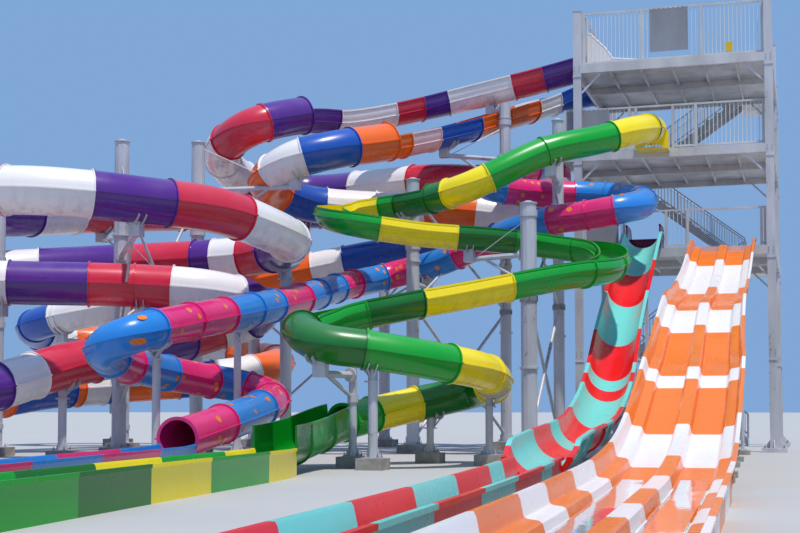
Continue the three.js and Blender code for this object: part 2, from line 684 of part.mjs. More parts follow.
// A flight of steps that rises along X from one level to the next, and reaches no lower than the ground
function flight(fromX, toX, fromZ, toZ, y) {
  const direction = Math.sign(toX - fromX);
  const rise = (toZ - fromZ) / STEPS_PER_FLIGHT;
  const going = Math.abs(toX - fromX) / STEPS_PER_FLIGHT;
  const outline = [];
  for (let i = 0; i < STEPS_PER_FLIGHT; i += 1) {
    outline.push([fromX + direction * going * i, fromZ + rise * i]);
    outline.push([fromX + direction * going * i, fromZ + rise * (i + 1)]);
  }
  outline.push([toX, toZ]);
  outline.push([toX, toZ - FLIGHT_THICKNESS - rise]);
  outline.push([fromX + direction * going, Math.max(GAP, fromZ - FLIGHT_THICKNESS)]);
  return plateAlongY(outline, y, y + FLIGHT_WIDTH);
}

function buildTower() {
  columnPlaces().forEach(([name, x, y, top]) => towerColumn(name, x, y, top));
  const edge = -COLUMN_SIZE / 2;
  const middleEdge = edge - MIDDLE_DECK_OVERHANG;
  const decks = [
    ['deck_top', DECK_TOPS.top, edge, 'right'],
    ['deck_middle', DECK_TOPS.middle, middleEdge, 'left'],
    ['deck_low', DECK_TOPS.low, edge, 'right'],
  ];
  decks.forEach(([name, level, left, landing]) => {
    addPiece(name, toGeometry(deckFrame(level, left, landing)), COLOURS.deck, 0.5, 0.3);
  });
  const raftGaps = [[0.7, 2.3], [4.8, 6.4]];
  deckRailing('railing_top', DECK_TOPS.top, RAIL_HEIGHTS.top, edge, [], raftGaps);
  const greenGap = [2.2, 3.6];
  const pinkGap = [0.75, 1.85];
  deckRailing('railing_middle', DECK_TOPS.middle, RAIL_HEIGHTS.middle, middleEdge, [greenGap], [pinkGap]);
  const redGap = [1.7, 3.3];
  const orangeGap = [4.1, 6.8];
  deckRailing('railing_low', DECK_TOPS.low, RAIL_HEIGHTS.low, edge, [redGap, orangeGap], []);

  const nearLane = TOWER_DEPTH + COLUMN_SIZE / 2 + FLIGHT_PLAY;
  const farLane = nearLane + FLIGHT_WIDTH + FLIGHT_PLAY;
  const leftStop = LANDING_LENGTH + GAP;
  const rightStop = TOWER_WIDTH - LANDING_LENGTH - GAP;
  const back = TOWER_DEPTH + STAIR_DEPTH + COLUMN_SIZE / 2;
  const halfLow = DECK_TOPS.half - LANDING_THICKNESS;
  const halfEdge = LANDING_LENGTH + LANDING_THICKNESS;
  const halfLanding = box([edge, nearLane, halfLow], [halfEdge, back, DECK_TOPS.half]);
  const clear = columnRooms();
  const lowerStair = join([
    flight(rightStop, LANDING_LENGTH, GAP, DECK_TOPS.half, farLane),
    halfLanding,
    flight(LANDING_LENGTH, rightStop, DECK_TOPS.half, DECK_TOPS.low, nearLane),
  ]);
  addPiece('stair_lower', toGeometry(cut(lowerStair, clear)), COLOURS.deck, 0.6, 0.3);
  const middleStair = flight(rightStop, leftStop, DECK_TOPS.low, DECK_TOPS.middle, farLane);
  addPiece('stair_middle', toGeometry(middleStair), COLOURS.deck, 0.6, 0.3);
  const upperStair = flight(leftStop, rightStop, DECK_TOPS.middle, DECK_TOPS.top, nearLane);
  addPiece('stair_upper', toGeometry(upperStair), COLOURS.deck, 0.6, 0.3);
}

// Supports: a round column with arms that reach under the slides, each with a saddle
const SUPPORTS = [
  { name: 'support_left_front', at: [-13.75, -10.9], top: 10.6, radius: 0.24,
    arms: [['purple', 24], ['purple', 36.1], ['purple', 41], ['purple', 29.4]] },
  { name: 'support_left_rear', at: [-13, -6.5], top: 11.35, radius: 0.24,
    arms: [['purple', 29.7], ['blue', 6]] },
  { name: 'support_centre', at: [-5.3, -4.7], top: 9.9, radius: 0.24,
    arms: [['green', 6.5], ['pink', 14.3]] },
  { name: 'support_centre_right', at: [-0.4, -7.95], top: 8.35, radius: 0.27,
    arms: [['green', 12.4], ['green', 11.6]] },
  { name: 'support_upper_right', at: [-0.1, -3.98], top: 11.9, radius: 0.2,
    arms: [['green', 3.9], ['pink', 5.5]] },
  { name: 'support_upper_left', at: [-3, 0.55], top: 13.1, radius: 0.22,
    arms: [['blue', 3.2], ['purple', 1.4], ['blue', 12.2]] },
  { name: 'support_green_front', at: [-2.5, -18.2], radius: 0.13, arms: [['green', 23]] },
  { name: 'support_green_turn', at: [-3.4, -17.15], radius: 0.11, arms: [['green', 22]] },
  { name: 'support_green_right', at: [-0.23, -14.6], radius: 0.11, arms: [['green', 25.5]] },
  { name: 'support_green_rear', at: [-2.3, -13.3], radius: 0.11, arms: [['green', 27.55]] },
  { name: 'support_pink_front', at: [-8.25, -19.1], radius: 0.11, arms: [['pink', 19.5]] },
  { name: 'support_pink_middle', at: [-8, -14.3], radius: 0.11, arms: [['pink', 18.2]] },
  { name: 'support_purple_exit', at: [-13.7, -14.6], radius: 0.13, arms: [['purple', 42]] },
  { name: 'support_purple_turn', at: [-8.75, -8.45], radius: 0.2, arms: [['purple', 27.5]] },
  { name: 'support_far_left', at: [-17.9, -11.8], top: 8.2, radius: 0.24,
    arms: [['purple', 18.5], ['purple', 31.5], ['blue', 31]] },
  { name: 'support_far_front', at: [-16.6, -16.2], top: 7.6, radius: 0.24,
    arms: [['purple', 20.5], ['purple', 35]] },
  { name: 'support_far_loop', at: [-20.5, 1.6], top: 5.6, radius: 0.22,
    arms: [['blue', 19], ['blue', 22.4]] },
  { name: 'support_rear_left', at: [-14.4, 2.25], top: 10, radius: 0.24,
    arms: [['purple', 15.7], ['blue', 17.2], ['blue', 24.4]] },
  { name: 'support_left_side', at: [-16.6, -5.3], top: 9, radius: 0.24,
    arms: [['purple', 17], ['blue', 28]] },
  { name: 'support_rear', at: [-8.9, 3.4], top: 10.2, radius: 0.24,
    arms: [['purple', 15], ['purple', 10], ['blue', 15.6]] },
];
const FOOTING = { size: 0.95, height: 0.3 };
const ARM_RADIUS = 0.09;
const ARM_DROP = 0.3;
const SADDLE_WIDTH = 0.34;
// A column this close to a slide's centre line carries it on its own head, without an arm
const HEAD_DISTANCE = 0.4;
// Columns thinner than this stand on the smaller footing
const THIN_COLUMN = 0.15;
const SMALL_FOOTING = 0.75;

function pointOn(slideName, waypoint) {
  const slide = SLIDES[slideName];
  const curve = centreLine(slide);
  return { centre: curve.getPoint(waypoint / (slide.waypoints.length - 1)), radius: slide.radius };
}

function buildSupport(support) {
  const [x, y] = support.at;
  const half = (support.radius > THIN_COLUMN ? 1 : SMALL_FOOTING) * (FOOTING.size / 2);
  const footing = box([x - half, y - half, 0], [x + half, y + half, FOOTING.height]);
  const pieces = [footing];
  let highest = FOOTING.height;
  support.arms.forEach(([slideName, waypoint]) => {
    const { centre, radius } = pointOn(slideName, waypoint);
    const below = centre.z - radius - ARM_DROP;
    const distance = Math.hypot(centre.x - x, centre.y - y);
    const isHead = distance < HEAD_DISTANCE;
    highest = Math.max(highest, isHead ? centre.z - radius / 2 : below + 2 * ARM_RADIUS);
    if (isHead) return;
    pieces.push(bar([x, y, below], [centre.x, centre.y, below], ARM_RADIUS));
    const saddleHalf = SADDLE_WIDTH / 2;
    const saddleLow = [centre.x - saddleHalf, centre.y - saddleHalf, below - ARM_RADIUS];
    pieces.push(box(saddleLow, [centre.x + saddleHalf, centre.y + saddleHalf, centre.z - radius * 0.8]));
  });
  const top = Math.max(support.top ?? 0, highest);
  pieces.push(bar([x, y, FOOTING.height / 2], [x, y, top], support.radius, 12));
  const solid = cut(join(pieces), slideRooms);
  addPiece(support.name, toGeometry(solid), COLOURS.steel, 0.5, 0.3);
}

// A steel trestle: beams along the slide's underside, on legs with a cross beam and footings
const TRESTLE = { beamWidth: 0.12, beamDepth: 0.24, leg: 0.12, foot: 0.5, footHeight: 0.15, narrowest: 0.45 };

// The height of a run of stations at one place along Y, for a slide that runs down along -Y
function heightAt(places, y) {
  const next = places.findIndex(({ point }) => point.y < y);
  const [above, below] = [places[next - 1].point, places[next].point];
  return THREE.MathUtils.mapLinear(y, above.y, below.y, above.z, below.z);
}

function buildTrestle(slide) {
  const { name, beams, from, to, legs } = slide.trestle;
  const curve = centreLine(slide);
  const spans = slide.waypoints.length - 1;
  const raised = slide.stretches.filter((stretch) => !stretch.onGround);
  const places = raised.flatMap((stretch) => stretchPlaces(slide, stretch));
  const carried = places.filter(({ waypoint }) => waypoint >= from && waypoint <= to);
  const beamHalf = TRESTLE.beamWidth / 2;
  const pieces = beams.map((offset) => {
    const outline = [
      [offset - beamHalf, -TRESTLE.beamDepth],
      [offset + beamHalf, -TRESTLE.beamDepth],
      [offset + beamHalf, 0],
      [offset - beamHalf, 0],
    ];
    return toSolid(solidSweep(carried, outline));
  });
  const reach = Math.max(Math.abs(beams[0]), TRESTLE.narrowest);
  const legHalf = TRESTLE.leg / 2;
  const footHalf = TRESTLE.foot / 2;
  legs.forEach((waypoint) => {
    const { x, y } = curve.getPoint(waypoint / spans);
    const top = heightAt(places, y) - TRESTLE.beamDepth / 2;
    const crossLow = [x - reach - legHalf, y - legHalf, top - TRESTLE.beamDepth];
    pieces.push(box(crossLow, [x + reach + legHalf, y + legHalf, top]));
    [x - reach, x + reach].forEach((legX) => {
      pieces.push(box([legX - legHalf, y - legHalf, 0], [legX + legHalf, y + legHalf, top]));
      const footHigh = [legX + footHalf, y + footHalf, TRESTLE.footHeight];
      pieces.push(box([legX - footHalf, y - footHalf, 0], footHigh));
    });
  });
  addPiece(name, toGeometry(cut(join(pieces), slideRooms)), COLOURS.steel, 0.5, 0.3);
}

buildTower();
buildSlides();
Object.values(SLIDES).filter((slide) => slide.trestle).forEach(buildTrestle);
SUPPORTS.forEach(buildSupport);

tower.scale.setScalar(MODEL_MM_PER_METRE);
tower.updateMatrixWorld(true);

export default tower;
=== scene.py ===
"""Water slide tower: a steel access tower, six fibreglass slides and the columns that carry them.

Places and sizes are written in metres of the real tower. The part is a 1:2 model, so MODEL halves them."""
import json
import math
import random

import bpy
import numpy as np
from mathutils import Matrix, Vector

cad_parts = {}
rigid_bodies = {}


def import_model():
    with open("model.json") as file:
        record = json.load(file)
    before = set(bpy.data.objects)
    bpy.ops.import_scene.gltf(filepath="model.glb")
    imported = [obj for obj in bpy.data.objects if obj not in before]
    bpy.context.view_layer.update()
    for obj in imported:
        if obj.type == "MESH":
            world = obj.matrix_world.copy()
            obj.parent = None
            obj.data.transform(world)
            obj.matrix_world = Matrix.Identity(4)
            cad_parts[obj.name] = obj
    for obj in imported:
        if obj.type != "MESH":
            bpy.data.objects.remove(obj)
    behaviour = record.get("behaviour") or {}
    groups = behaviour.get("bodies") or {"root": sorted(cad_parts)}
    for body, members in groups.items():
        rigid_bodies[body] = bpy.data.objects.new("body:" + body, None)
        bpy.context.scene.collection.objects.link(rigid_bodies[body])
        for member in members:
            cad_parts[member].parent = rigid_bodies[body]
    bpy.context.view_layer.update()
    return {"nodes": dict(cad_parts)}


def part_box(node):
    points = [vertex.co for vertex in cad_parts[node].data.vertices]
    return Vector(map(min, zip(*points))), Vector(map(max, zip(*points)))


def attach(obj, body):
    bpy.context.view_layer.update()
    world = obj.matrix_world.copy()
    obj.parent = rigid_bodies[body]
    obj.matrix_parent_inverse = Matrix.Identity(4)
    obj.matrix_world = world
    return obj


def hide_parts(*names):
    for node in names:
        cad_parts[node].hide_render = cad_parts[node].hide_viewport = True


MODEL = 0.5

# Camera, in real metres and degrees
CAMERA_PLACE = (8.27, -51.86, 1.55)
CAMERA_PITCH_UP = 3.348
CAMERA_TURN_LEFT = 16.6
CAMERA_LENS = 61.155
CAMERA_SENSOR = 36
CAMERA_SHIFT_UP = 0.08

# Light: the sun stands high, a little to the right
SUN_FROM = (0.22, -0.24, 0.94)
SUN_STRENGTH = 3.5
SUN_SOFTNESS = 1.5
SKY_COLOUR = (150, 194, 248)
SKY_STRENGTH = 0.72
FLOOR_REACH = 400

# Tower
TOWER_WIDTH = 7.15
TOWER_DEPTH = 7.2
STAIR_DEPTH = 3.0
COLUMN_SIZE = 0.3
COLUMN_TOP = 17.0
STAIR_COLUMN_TOP = 15.9
DECK_TOPS = {"top": 14.88, "middle": 11.45, "low": 7.65, "half": 3.85}
FASCIA_DEPTH = 0.33
MIDDLE_DECK_EDGE = -0.6
RAIL_HEIGHTS = {"top": 2.1, "middle": 1.75, "low": 1.5}
RAIL_SIZE = 0.07
RAIL_LIFT = 0.13
RAIL_INSET = COLUMN_SIZE / 2 + RAIL_SIZE
BALUSTER_SPACING = 0.15
BALUSTER_RADIUS = 0.016
FLIGHT_WIDTH = 1.3
LANDING_LENGTH = 1.3
FLIGHT_PLAY = 0.05
STEPS_PER_FLIGHT = 12
TREAD = 0.045
TREAD_OVERLAP = 0.03
STRINGER = 0.05
STRINGER_DEPTH = 0.3
HANDRAIL = 1.05
HANDRAIL_RADIUS = 0.024
FOOT_RAIL = 0.2
STAIR_BAR_SPACING = 0.14
STAIR_POST_RADIUS = 0.028
RISER_HALF = 0.012
SHEET_RIB_SPACING = 0.09
SHEET_RIB_DEPTH = 0.03
SHEET_THICKNESS = 0.008
SHEET_FORWARD = 0.05
COLUMN_BASE = 0.16
CORNER_BRACE = 0.75

# Slides
RAFT_RADIUS = 0.7
BODY_RADIUS = 0.51
RED_RADIUS = 0.66
# The rim angle of the red half pipe by waypoint: its walls rise at the bottom, then drop to the lane
RED_RIMS = ((0, 86), (6.3, 86), (7.3, 92), (8.7, 92), (8.95, 66))
# Floors of the green and the pink run-out lane below the tubes' centre line
GREEN_LANE_DROP = 0.51
PINK_LANE_DROP = 0.63
# A height that marks a lane's underside in its section: it is put on the ground
UNDERSIDE = -2
WALL = 0.035
STATION_STEP = 0.3
SEAM_CLEARANCE = 0.08
END_INSET = 0.01
LONGEST_SECTION = 3.2
FLANGE_HEIGHT = 0.05
FLANGE_HALF = 0.035
FLANGE_EDGE = 0.004
RIB_HEIGHT = 0.05
RIB_HALF_DEGREES = 1.7
# A route leaves its start square to the deck over this length
SQUARE_START = 0.8
# Edges that turn by more degrees than this stay sharp
SKIN_SHARP = 32
FITTING_SHARP = 40

# Fittings: material numbers in a heap, whose steel is 0, the upward axis and half a gusset's thickness
BOLTS = 1
STONE = 2
UP = (0, 0, 1)
GUSSET_HALF = 0.01

# Colours of the gel coats, as sRGB
COLOURS = {
    "purple": (88, 38, 136),
    "red": (208, 40, 66),
    "white": (236, 230, 228),
    "blush": (236, 196, 194),
    "blue": (16, 78, 172),
    "orange": (246, 104, 8),
    "green": (8, 160, 40),
    "dark_green": (4, 112, 26),
    "yellow": (246, 222, 8),
    "pink": (222, 30, 112),
    "sky": (34, 128, 208),
    "maroon": (120, 22, 74),
    "scarlet": (228, 18, 24),
    "turquoise": (116, 208, 200),
    "amber": (236, 120, 0),
    "dot": (232, 128, 40),
}
# Tints of the painted shade under the tubes and of rust, as linear colours
UNDERSIDE_SHADE_TINT = (0.14, 0.115, 0.1)
RUST = (0.2, 0.085, 0.035)


def linear(rgb):
    """An sRGB colour of 0 to 255 as a linear one."""
    unit = [value / 255 for value in rgb]
    return [v / 12.92 if v <= 0.04045 else ((v + 0.055) / 1.055) ** 2.4 for v in unit]


# Materials


class Nodes:
    """A material's node tree, with short calls for the nodes used here."""

    def __init__(self, name):
        self.material = bpy.data.materials.new(name)
        self.material.use_nodes = True
        self.tree = self.material.node_tree
        self.shader = self.tree.nodes["Principled BSDF"]

    def feed(self, node, inputs):
        """Puts a constant or another node's output on each named input."""
        for name, value in inputs.items():
            if isinstance(value, bpy.types.NodeSocket):
                self.tree.links.new(value, node.inputs[name])
            else:
                node.inputs[name].default_value = value
        return node

    def make(self, kind, inputs, output):
        return self.feed(self.tree.nodes.new("ShaderNode" + kind), inputs).outputs[output]

    def shade(self, inputs):
        self.feed(self.shader, inputs)

    def objects(self, scale=(1, 1, 1)):
        coordinates = self.make("TexCoord", {}, "Object")
        return self.make("Mapping", {"Vector": coordinates, "Scale": scale}, "Vector")

    def noise(self, vector, scale, detail=4, roughness=0.55):
        inputs = {"Vector": vector, "Scale": scale, "Detail": detail, "Roughness": roughness}
        return self.make("TexNoise", inputs, "Fac")

    def span(self, value, low, high, to_low=0.0, to_high=1.0):
        inputs = {"Value": value, "From Min": low, "From Max": high, "To Min": to_low, "To Max": to_high}
        return self.make("MapRange", inputs, "Result")

    def product(self, first, second):
        node = self.tree.nodes.new("ShaderNodeMath")
        node.operation = "MULTIPLY"
        return self.feed(node, {0: first, 1: second}).outputs["Value"]

    def facing(self, axis):
        return self.make("SeparateXYZ", {"Vector": self.make("NewGeometry", {}, "Normal")}, axis)

    def mix(self, amount, first, second):
        """A blend of two colours. Each is a colour or the output of a node."""
        node = self.tree.nodes.new("ShaderNodeMix")
        node.data_type = "RGBA"
        first, second = (v if isinstance(v, bpy.types.NodeSocket) else (*v, 1) for v in (first, second))
        return self.feed(node, {"Factor": amount, "A": first, "B": second}).outputs["Result"]

    def bump(self, height, strength, distance):
        inputs = {"Height": height, "Strength": strength, "Distance": distance}
        self.shade({"Normal": self.make("Bump", inputs, "Normal")})


def gel_coat(name, rgb, wear_and_shade=1.0):
    """Glossy fibreglass, a little faded on top, with painted shade as darker streaks on the downward-facing
    faces. Lanes are less faded and get less of the painted shade.
    """
    base = linear(rgb)
    faded = [0.85 * value + 0.15 * 0.8 for value in base]
    # The darker tone of the painted shade on faces that point down
    shaded_tone = [0.5 * value + 0.5 * tint for value, tint in zip(base, UNDERSIDE_SHADE_TINT)]
    nodes = Nodes("gel_coat_" + name)
    vector = nodes.objects()
    cloud = nodes.noise(vector, 0.9, 5)
    patches = nodes.span(cloud, 0.4, 0.7, 0.0, 0.4 * wear_and_shade)
    fading = nodes.product(patches, nodes.span(nodes.facing("Z"), -0.1, 0.9))
    tone = nodes.mix(fading, base, faded)
    streaks = nodes.noise(nodes.objects((5, 5, 0.8)), 1.6, 6, 0.65)
    # Painted shade: faces that point down are darkened in streaks, as if lying in the tube's own shade
    below = nodes.span(nodes.facing("Z"), -0.1, -0.95, 0.04 * wear_and_shade, 0.7 * wear_and_shade)
    painted_shade = nodes.product(nodes.span(streaks, 0.46, 0.68), below)
    is_tube = wear_and_shade == 1
    nodes.shade({
        "Base Color": nodes.mix(painted_shade, tone, shaded_tone),
        "Roughness": nodes.span(cloud, 0.3, 0.75, 0.22, 0.34),
        "Specular IOR Level": 0.42 if is_tube else 0.26,
        "Coat Weight": 0.28 if is_tube else 0.05,
        "Coat Roughness": 0.06,
    })
    nodes.bump(nodes.noise(vector, 2.2, 2), 0.16, 0.01)
    return nodes.material


def painted_steel(name, rgb, rust=0.62):
    """Light paint over steel, with cloudy dulling and small rust spots."""
    base = linear(rgb)
    dull = [0.72 * value for value in base]
    nodes = Nodes(name)
    vector = nodes.objects()
    cloud = nodes.noise(nodes.objects((1, 1, 0.35)), 2.4, 6)
    tone = nodes.mix(nodes.span(cloud, 0.35, 0.7), base, dull)
    spots = nodes.product(nodes.noise(vector, 14, 8, 0.7), nodes.span(cloud, 0.3, 0.7, 0.7, 1.15))
    rusty = nodes.span(spots, rust, rust + 0.06, 0.0, 0.75)
    nodes.shade({
        "Base Color": nodes.mix(rusty, tone, RUST),
        "Roughness": nodes.span(cloud, 0.3, 0.75, 0.32, 0.54),
        "Metallic": 0.08,
    })
    nodes.bump(nodes.noise(vector, 40, 3), 0.12, 0.004)
    return nodes.material


def concrete():
    nodes = Nodes("footing_concrete")
    vector = nodes.objects()
    cloud = nodes.span(nodes.noise(vector, 5, 8, 0.65), 0.35, 0.68)
    nodes.shade({"Base Color": nodes.mix(cloud, (0.42, 0.39, 0.35), (0.22, 0.2, 0.18)), "Roughness": 0.88})
    nodes.bump(nodes.noise(vector, 30, 6), 0.5, 0.008)
    return nodes.material


def plain(name, rgb):
    """A dull plastic or rubber with a slight mottling."""
    base = linear(rgb)
    nodes = Nodes(name)
    mottling = nodes.mix(nodes.noise(nodes.objects(), 6, 4), base, [0.7 * value for value in base])
    nodes.shade({"Base Color": mottling, "Roughness": 0.6})
    return nodes.material


def water():
    nodes = Nodes("pool_water")
    nodes.shade({"Base Color": (0.72, 0.86, 0.9, 1), "Roughness": 0.04})
    nodes.shade({"Transmission Weight": 0.85, "IOR": 1.33})
    nodes.bump(nodes.noise(nodes.objects(), 3, 3), 0.16, 0.01)
    return nodes.material


# Meshes


def add_object(name, data):
    """A new object in the scene."""
    thing = bpy.data.objects.new(name, data)
    bpy.context.scene.collection.objects.link(thing)
    return thing


def make_piece(name, vertices, faces, materials, indices, replaced, sharp_degrees):
    """A mesh piece from places in real metres, riding on the part."""
    mesh = bpy.data.meshes.new(name)
    mesh.from_pydata([tuple(float(v) * MODEL for v in vertex) for vertex in vertices], [], faces)
    for material in materials:
        mesh.materials.append(material)
    mesh.polygons.foreach_set("material_index", indices)
    mesh.shade_smooth()
    mesh.set_sharp_from_angle(angle=math.radians(sharp_degrees))
    mesh.validate()
    mesh.update()
    piece = add_object(name, mesh)
    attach(piece, "root")
    if replaced:
        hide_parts(*replaced)


def lofted_faces(size, rings=2):
    """The faces of a skin through equal rings of points, with an end face on the first and the last."""
    faces = []
    for start in range(0, (rings - 1) * size, size):
        for k in range(size):
            a, b = start + k, start + (k + 1) % size
            faces.append((a, b, b + size, a + size))
    faces.append(tuple(reversed(range(size))))
    faces.append(tuple(range((rings - 1) * size, rings * size)))
    return faces


def corners(x, y, reach):
    """The four places that lie reach away from a point along both axes."""
    return [(x + dx, y + dy) for dx in (-reach, reach) for dy in (-reach, reach)]


class Heap:
    """Small solids gathered into one mesh, each with its own material number."""

    def __init__(self):
        self.vertices = []
        self.faces = []
        self.indices = []

    def add(self, vertices, faces, material=0):
        start = len(self.vertices)
        self.vertices.extend(vertices)
        self.faces.extend([[start + i for i in face] for face in faces])
        self.indices.extend([material] * len(faces))

    def box(self, low, high, material=0):
        (x0, y0, z0), (x1, y1, z1) = low, high
        points = [(x, y, z) for z in (z0, z1) for x, y in ((x0, y0), (x1, y0), (x1, y1), (x0, y1))]
        faces = [(3, 2, 1, 0), (4, 5, 6, 7), (0, 1, 5, 4), (1, 2, 6, 5), (2, 3, 7, 6), (3, 0, 4, 7)]
        self.add(points, faces, material)

    def block(self, x, y, half, low, high, material=0):
        """An upright box with a square plan."""
        self.box((x - half, y - half, low), (x + half, y + half, high), material)

    def bar(self, start, end, radius, sides=8, material=0, end_radius=None):
        """A round or, with 4 sides, a square bar. With an end radius it is a cone."""
        start, end = np.array(start, float), np.array(end, float)
        along = (end - start) / np.linalg.norm(end - start)
        helper = np.array([0, 0, 1.0]) if abs(along[2]) < 0.9 else np.array([1.0, 0, 0])
        across = np.cross(along, helper)
        across /= np.linalg.norm(across)
        other = np.cross(along, across)
        turn = math.pi / sides if sides == 4 else 0
        points = []
        for centre, size in ((start, radius), (end, radius if end_radius is None else end_radius)):
            for i in range(sides):
                angle = turn + 2 * math.pi * i / sides
                points.append(tuple(centre + size * (math.cos(angle) * across + math.sin(angle) * other)))
        self.add(points, lofted_faces(sides), material)

    def collar(self, x, y, height, half, radius, sides=20):
        """A round band about an upright column."""
        self.bar((x, y, height - half), (x, y, height + half), radius, sides)

    def bolt(self, place, axis, size):
        """A hexagonal bolt head that stands out along an axis."""
        start = np.array(place, float)
        self.bar(start, start + np.array(axis, float) * size * 0.8, size, 6, BOLTS)

    def prism(self, outline, low, high, axis):
        """A flat outline, pushed along one axis. Along y it is given as (x, z), along x as (y, z)."""
        slot = "xyz".index(axis)
        points = [(*place[:slot], depth, *place[slot:]) for depth in (low, high) for place in outline]
        faces = lofted_faces(len(outline))
        area = sum(a[0] * b[1] - b[0] * a[1] for a, b in zip(outline, outline[1:] + outline[:1]))
        if (area < 0) != (axis == "y"):
            faces = [tuple(reversed(face)) for face in faces]
        self.add(points, faces)

    def foot(self, x, y, base, reach, bolt_size, stud_radius, stud_height, gusset):
        """Anchor bolts at the corners of a column's base plate and a gusset on each side of the column."""
        for corner_x, corner_y in corners(x, y, reach):
            self.bolt((corner_x, corner_y, base), UP, bolt_size)
            stud_top = (corner_x, corner_y, base + stud_height)
            self.bar((corner_x, corner_y, base), stud_top, stud_radius, 6, BOLTS)
        for centre, across, axis in ((x, y, "y"), (y, x, "x")):
            for sign in (1, -1):
                outline = [(centre + sign * out, height) for out, height in gusset]
                self.prism(outline, across - GUSSET_HALF, across + GUSSET_HALF, axis)

    def piece(self, name, materials, slot, replaced=()):
        make_piece(name, self.vertices, self.faces, materials, self.indices, replaced, FITTING_SHARP)


# Slides


class Route:
    """A slide's centre line: a centripetal Catmull-Rom curve through its waypoints, in real metres."""

    def __init__(self, waypoints, leaves):
        self.points = np.array(waypoints, float)
        self.leaves = np.array(leaves, float)
        self.last = len(waypoints) - 1
        self.samples = np.linspace(0, self.last, self.last * 40 + 1)
        places = np.array([self.place(w) for w in self.samples])
        steps = np.linalg.norm(np.diff(places, axis=0), axis=1)
        self.lengths = np.concatenate([[0], np.cumsum(steps)])

    def place(self, waypoint):
        points = self.points
        i = min(int(waypoint), self.last - 1)
        w = waypoint - i
        b, c = points[i], points[i + 1]
        a = points[i - 1] if i > 0 else 2 * points[0] - points[1]
        d = points[i + 2] if i + 2 <= self.last else 2 * points[-1] - points[-2]
        ab, bc, cd = (math.sqrt(np.linalg.norm(q - p)) for p, q in ((a, b), (b, c), (c, d)))
        leave = ((b - a) / ab - (c - a) / (ab + bc) + (c - b) / bc) * bc
        arrive = ((c - b) / bc - (d - b) / (bc + cd) + (d - c) / cd) * bc
        square = -3 * b + 3 * c - 2 * leave - arrive
        cube = 2 * b - 2 * c + leave + arrive
        return b + leave * w + square * w * w + cube * w**3

    def length_at(self, waypoint):
        return float(np.interp(waypoint, self.samples, self.lengths))

    def waypoint_at(self, length):
        return float(np.interp(length, self.lengths, self.samples))

    def frame(self, length):
        """The place and the sideways, upward and forward directions at a length along the route."""
        waypoint = self.waypoint_at(length)
        reach = 0.02
        before = self.place(max(waypoint - reach, 0))
        after = self.place(min(waypoint + reach, self.last))
        along = (after - before) / np.linalg.norm(after - before)
        square = max(0.0, 1 - length / SQUARE_START)
        along = along * (1 - square) + self.leaves * square
        along /= np.linalg.norm(along)
        side = np.cross(along, [0, 0, 1.0])
        side /= np.linalg.norm(side)
        return self.place(waypoint), side, np.cross(side, along), along


class Section:
    """Matching points of a slide's outer and inner skin, as (sideways, up) from the centre line."""

    def __init__(self, outer, inner, closed=False):
        self.outer = np.array(outer, float)
        self.inner = np.array(inner, float)
        self.closed = closed


def mirrored(half):
    """A whole profile from its right half, given from the rim to the middle."""
    return [[-x, z] for x, z in half] + list(reversed(half))


def add_lips(outer, inner, width):
    """Turns both rims outwards as a lip of the given width."""
    for end, sign in ((0, -1), (-1, 1)):
        x, z = inner[end]
        top = [[x + sign * width, z + 0.03], [x + sign * 0.012, z + 0.03]]
        low = [[x + sign * width, z - 0.03], [outer[end][0], z - 0.045]]
        if end == 0:
            inner, outer = top + inner[1:], low + outer[1:]
        else:
            inner, outer = inner[:-1] + top[::-1], outer[:-1] + low[::-1]
    return outer, inner


def arc_section(radius, rim, steps, ribs=(), closed=False, lip=0.0, lift=0.0, wall_top=None):
    """A round section from -rim to rim degrees, measured from straight down. Open ones can have walls."""
    angles = [(-rim + 2 * rim * i / steps, 0.0) for i in range(steps + (0 if closed else 1))]
    for rib in ribs:
        angles = [pair for pair in angles if abs(pair[0] - rib) > 2 * RIB_HALF_DEGREES]
        for offset, height in ((-1, 0), (-0.93, RIB_HEIGHT), (0.93, RIB_HEIGHT), (1, 0)):
            angles.append((rib + offset * RIB_HALF_DEGREES, height))
    angles.sort()

    def point(size, degrees):
        angle = math.radians(degrees)
        return [size * math.sin(angle), -size * math.cos(angle) + lift]

    outer = [point(radius + height, degrees) for degrees, height in angles]
    inner = [point(radius - WALL, degrees) for degrees, height in angles]
    if wall_top is not None:
        outer = [[outer[0][0], wall_top]] + outer + [[outer[-1][0], wall_top]]
        inner = [[inner[0][0], wall_top]] + inner + [[inner[-1][0], wall_top]]
    if lip:
        outer, inner = add_lips(outer, inner, lip)
    return Section(outer, inner, closed)


def lane_section(floor_half, rim, height, lip=0.07, drop=0.0):
    """A run-out lane: a floor with rounded corners and two walls that stand on the ground."""
    corner = 0.09
    inner = [[rim + lip, height + 0.012], [rim + 0.015, height + 0.012], [rim - 0.01, height - 0.03]]
    outer = [[rim + lip, height - 0.05], [rim + lip * 0.8, height - 0.06], [rim + 0.05, height - 0.07]]
    for i in range(5):
        angle = math.pi * i / 8
        inner.append([floor_half - corner + corner * math.cos(angle), corner - corner * math.sin(angle)])
        outer.append([rim + 0.045 if i == 0 else floor_half + 0.02 - 0.02 * i, UNDERSIDE])
    inner += [[0.4 * floor_half, -0.004], [0.001, -0.006]]
    outer += [[0.4 * floor_half, UNDERSIDE], [0.001, UNDERSIDE]]
    lowered = [[x, z - drop] for x, z in inner]
    hung = [[x, z if z == UNDERSIDE else z - drop] for x, z in outer]
    return Section(mirrored(hung), mirrored(lowered))


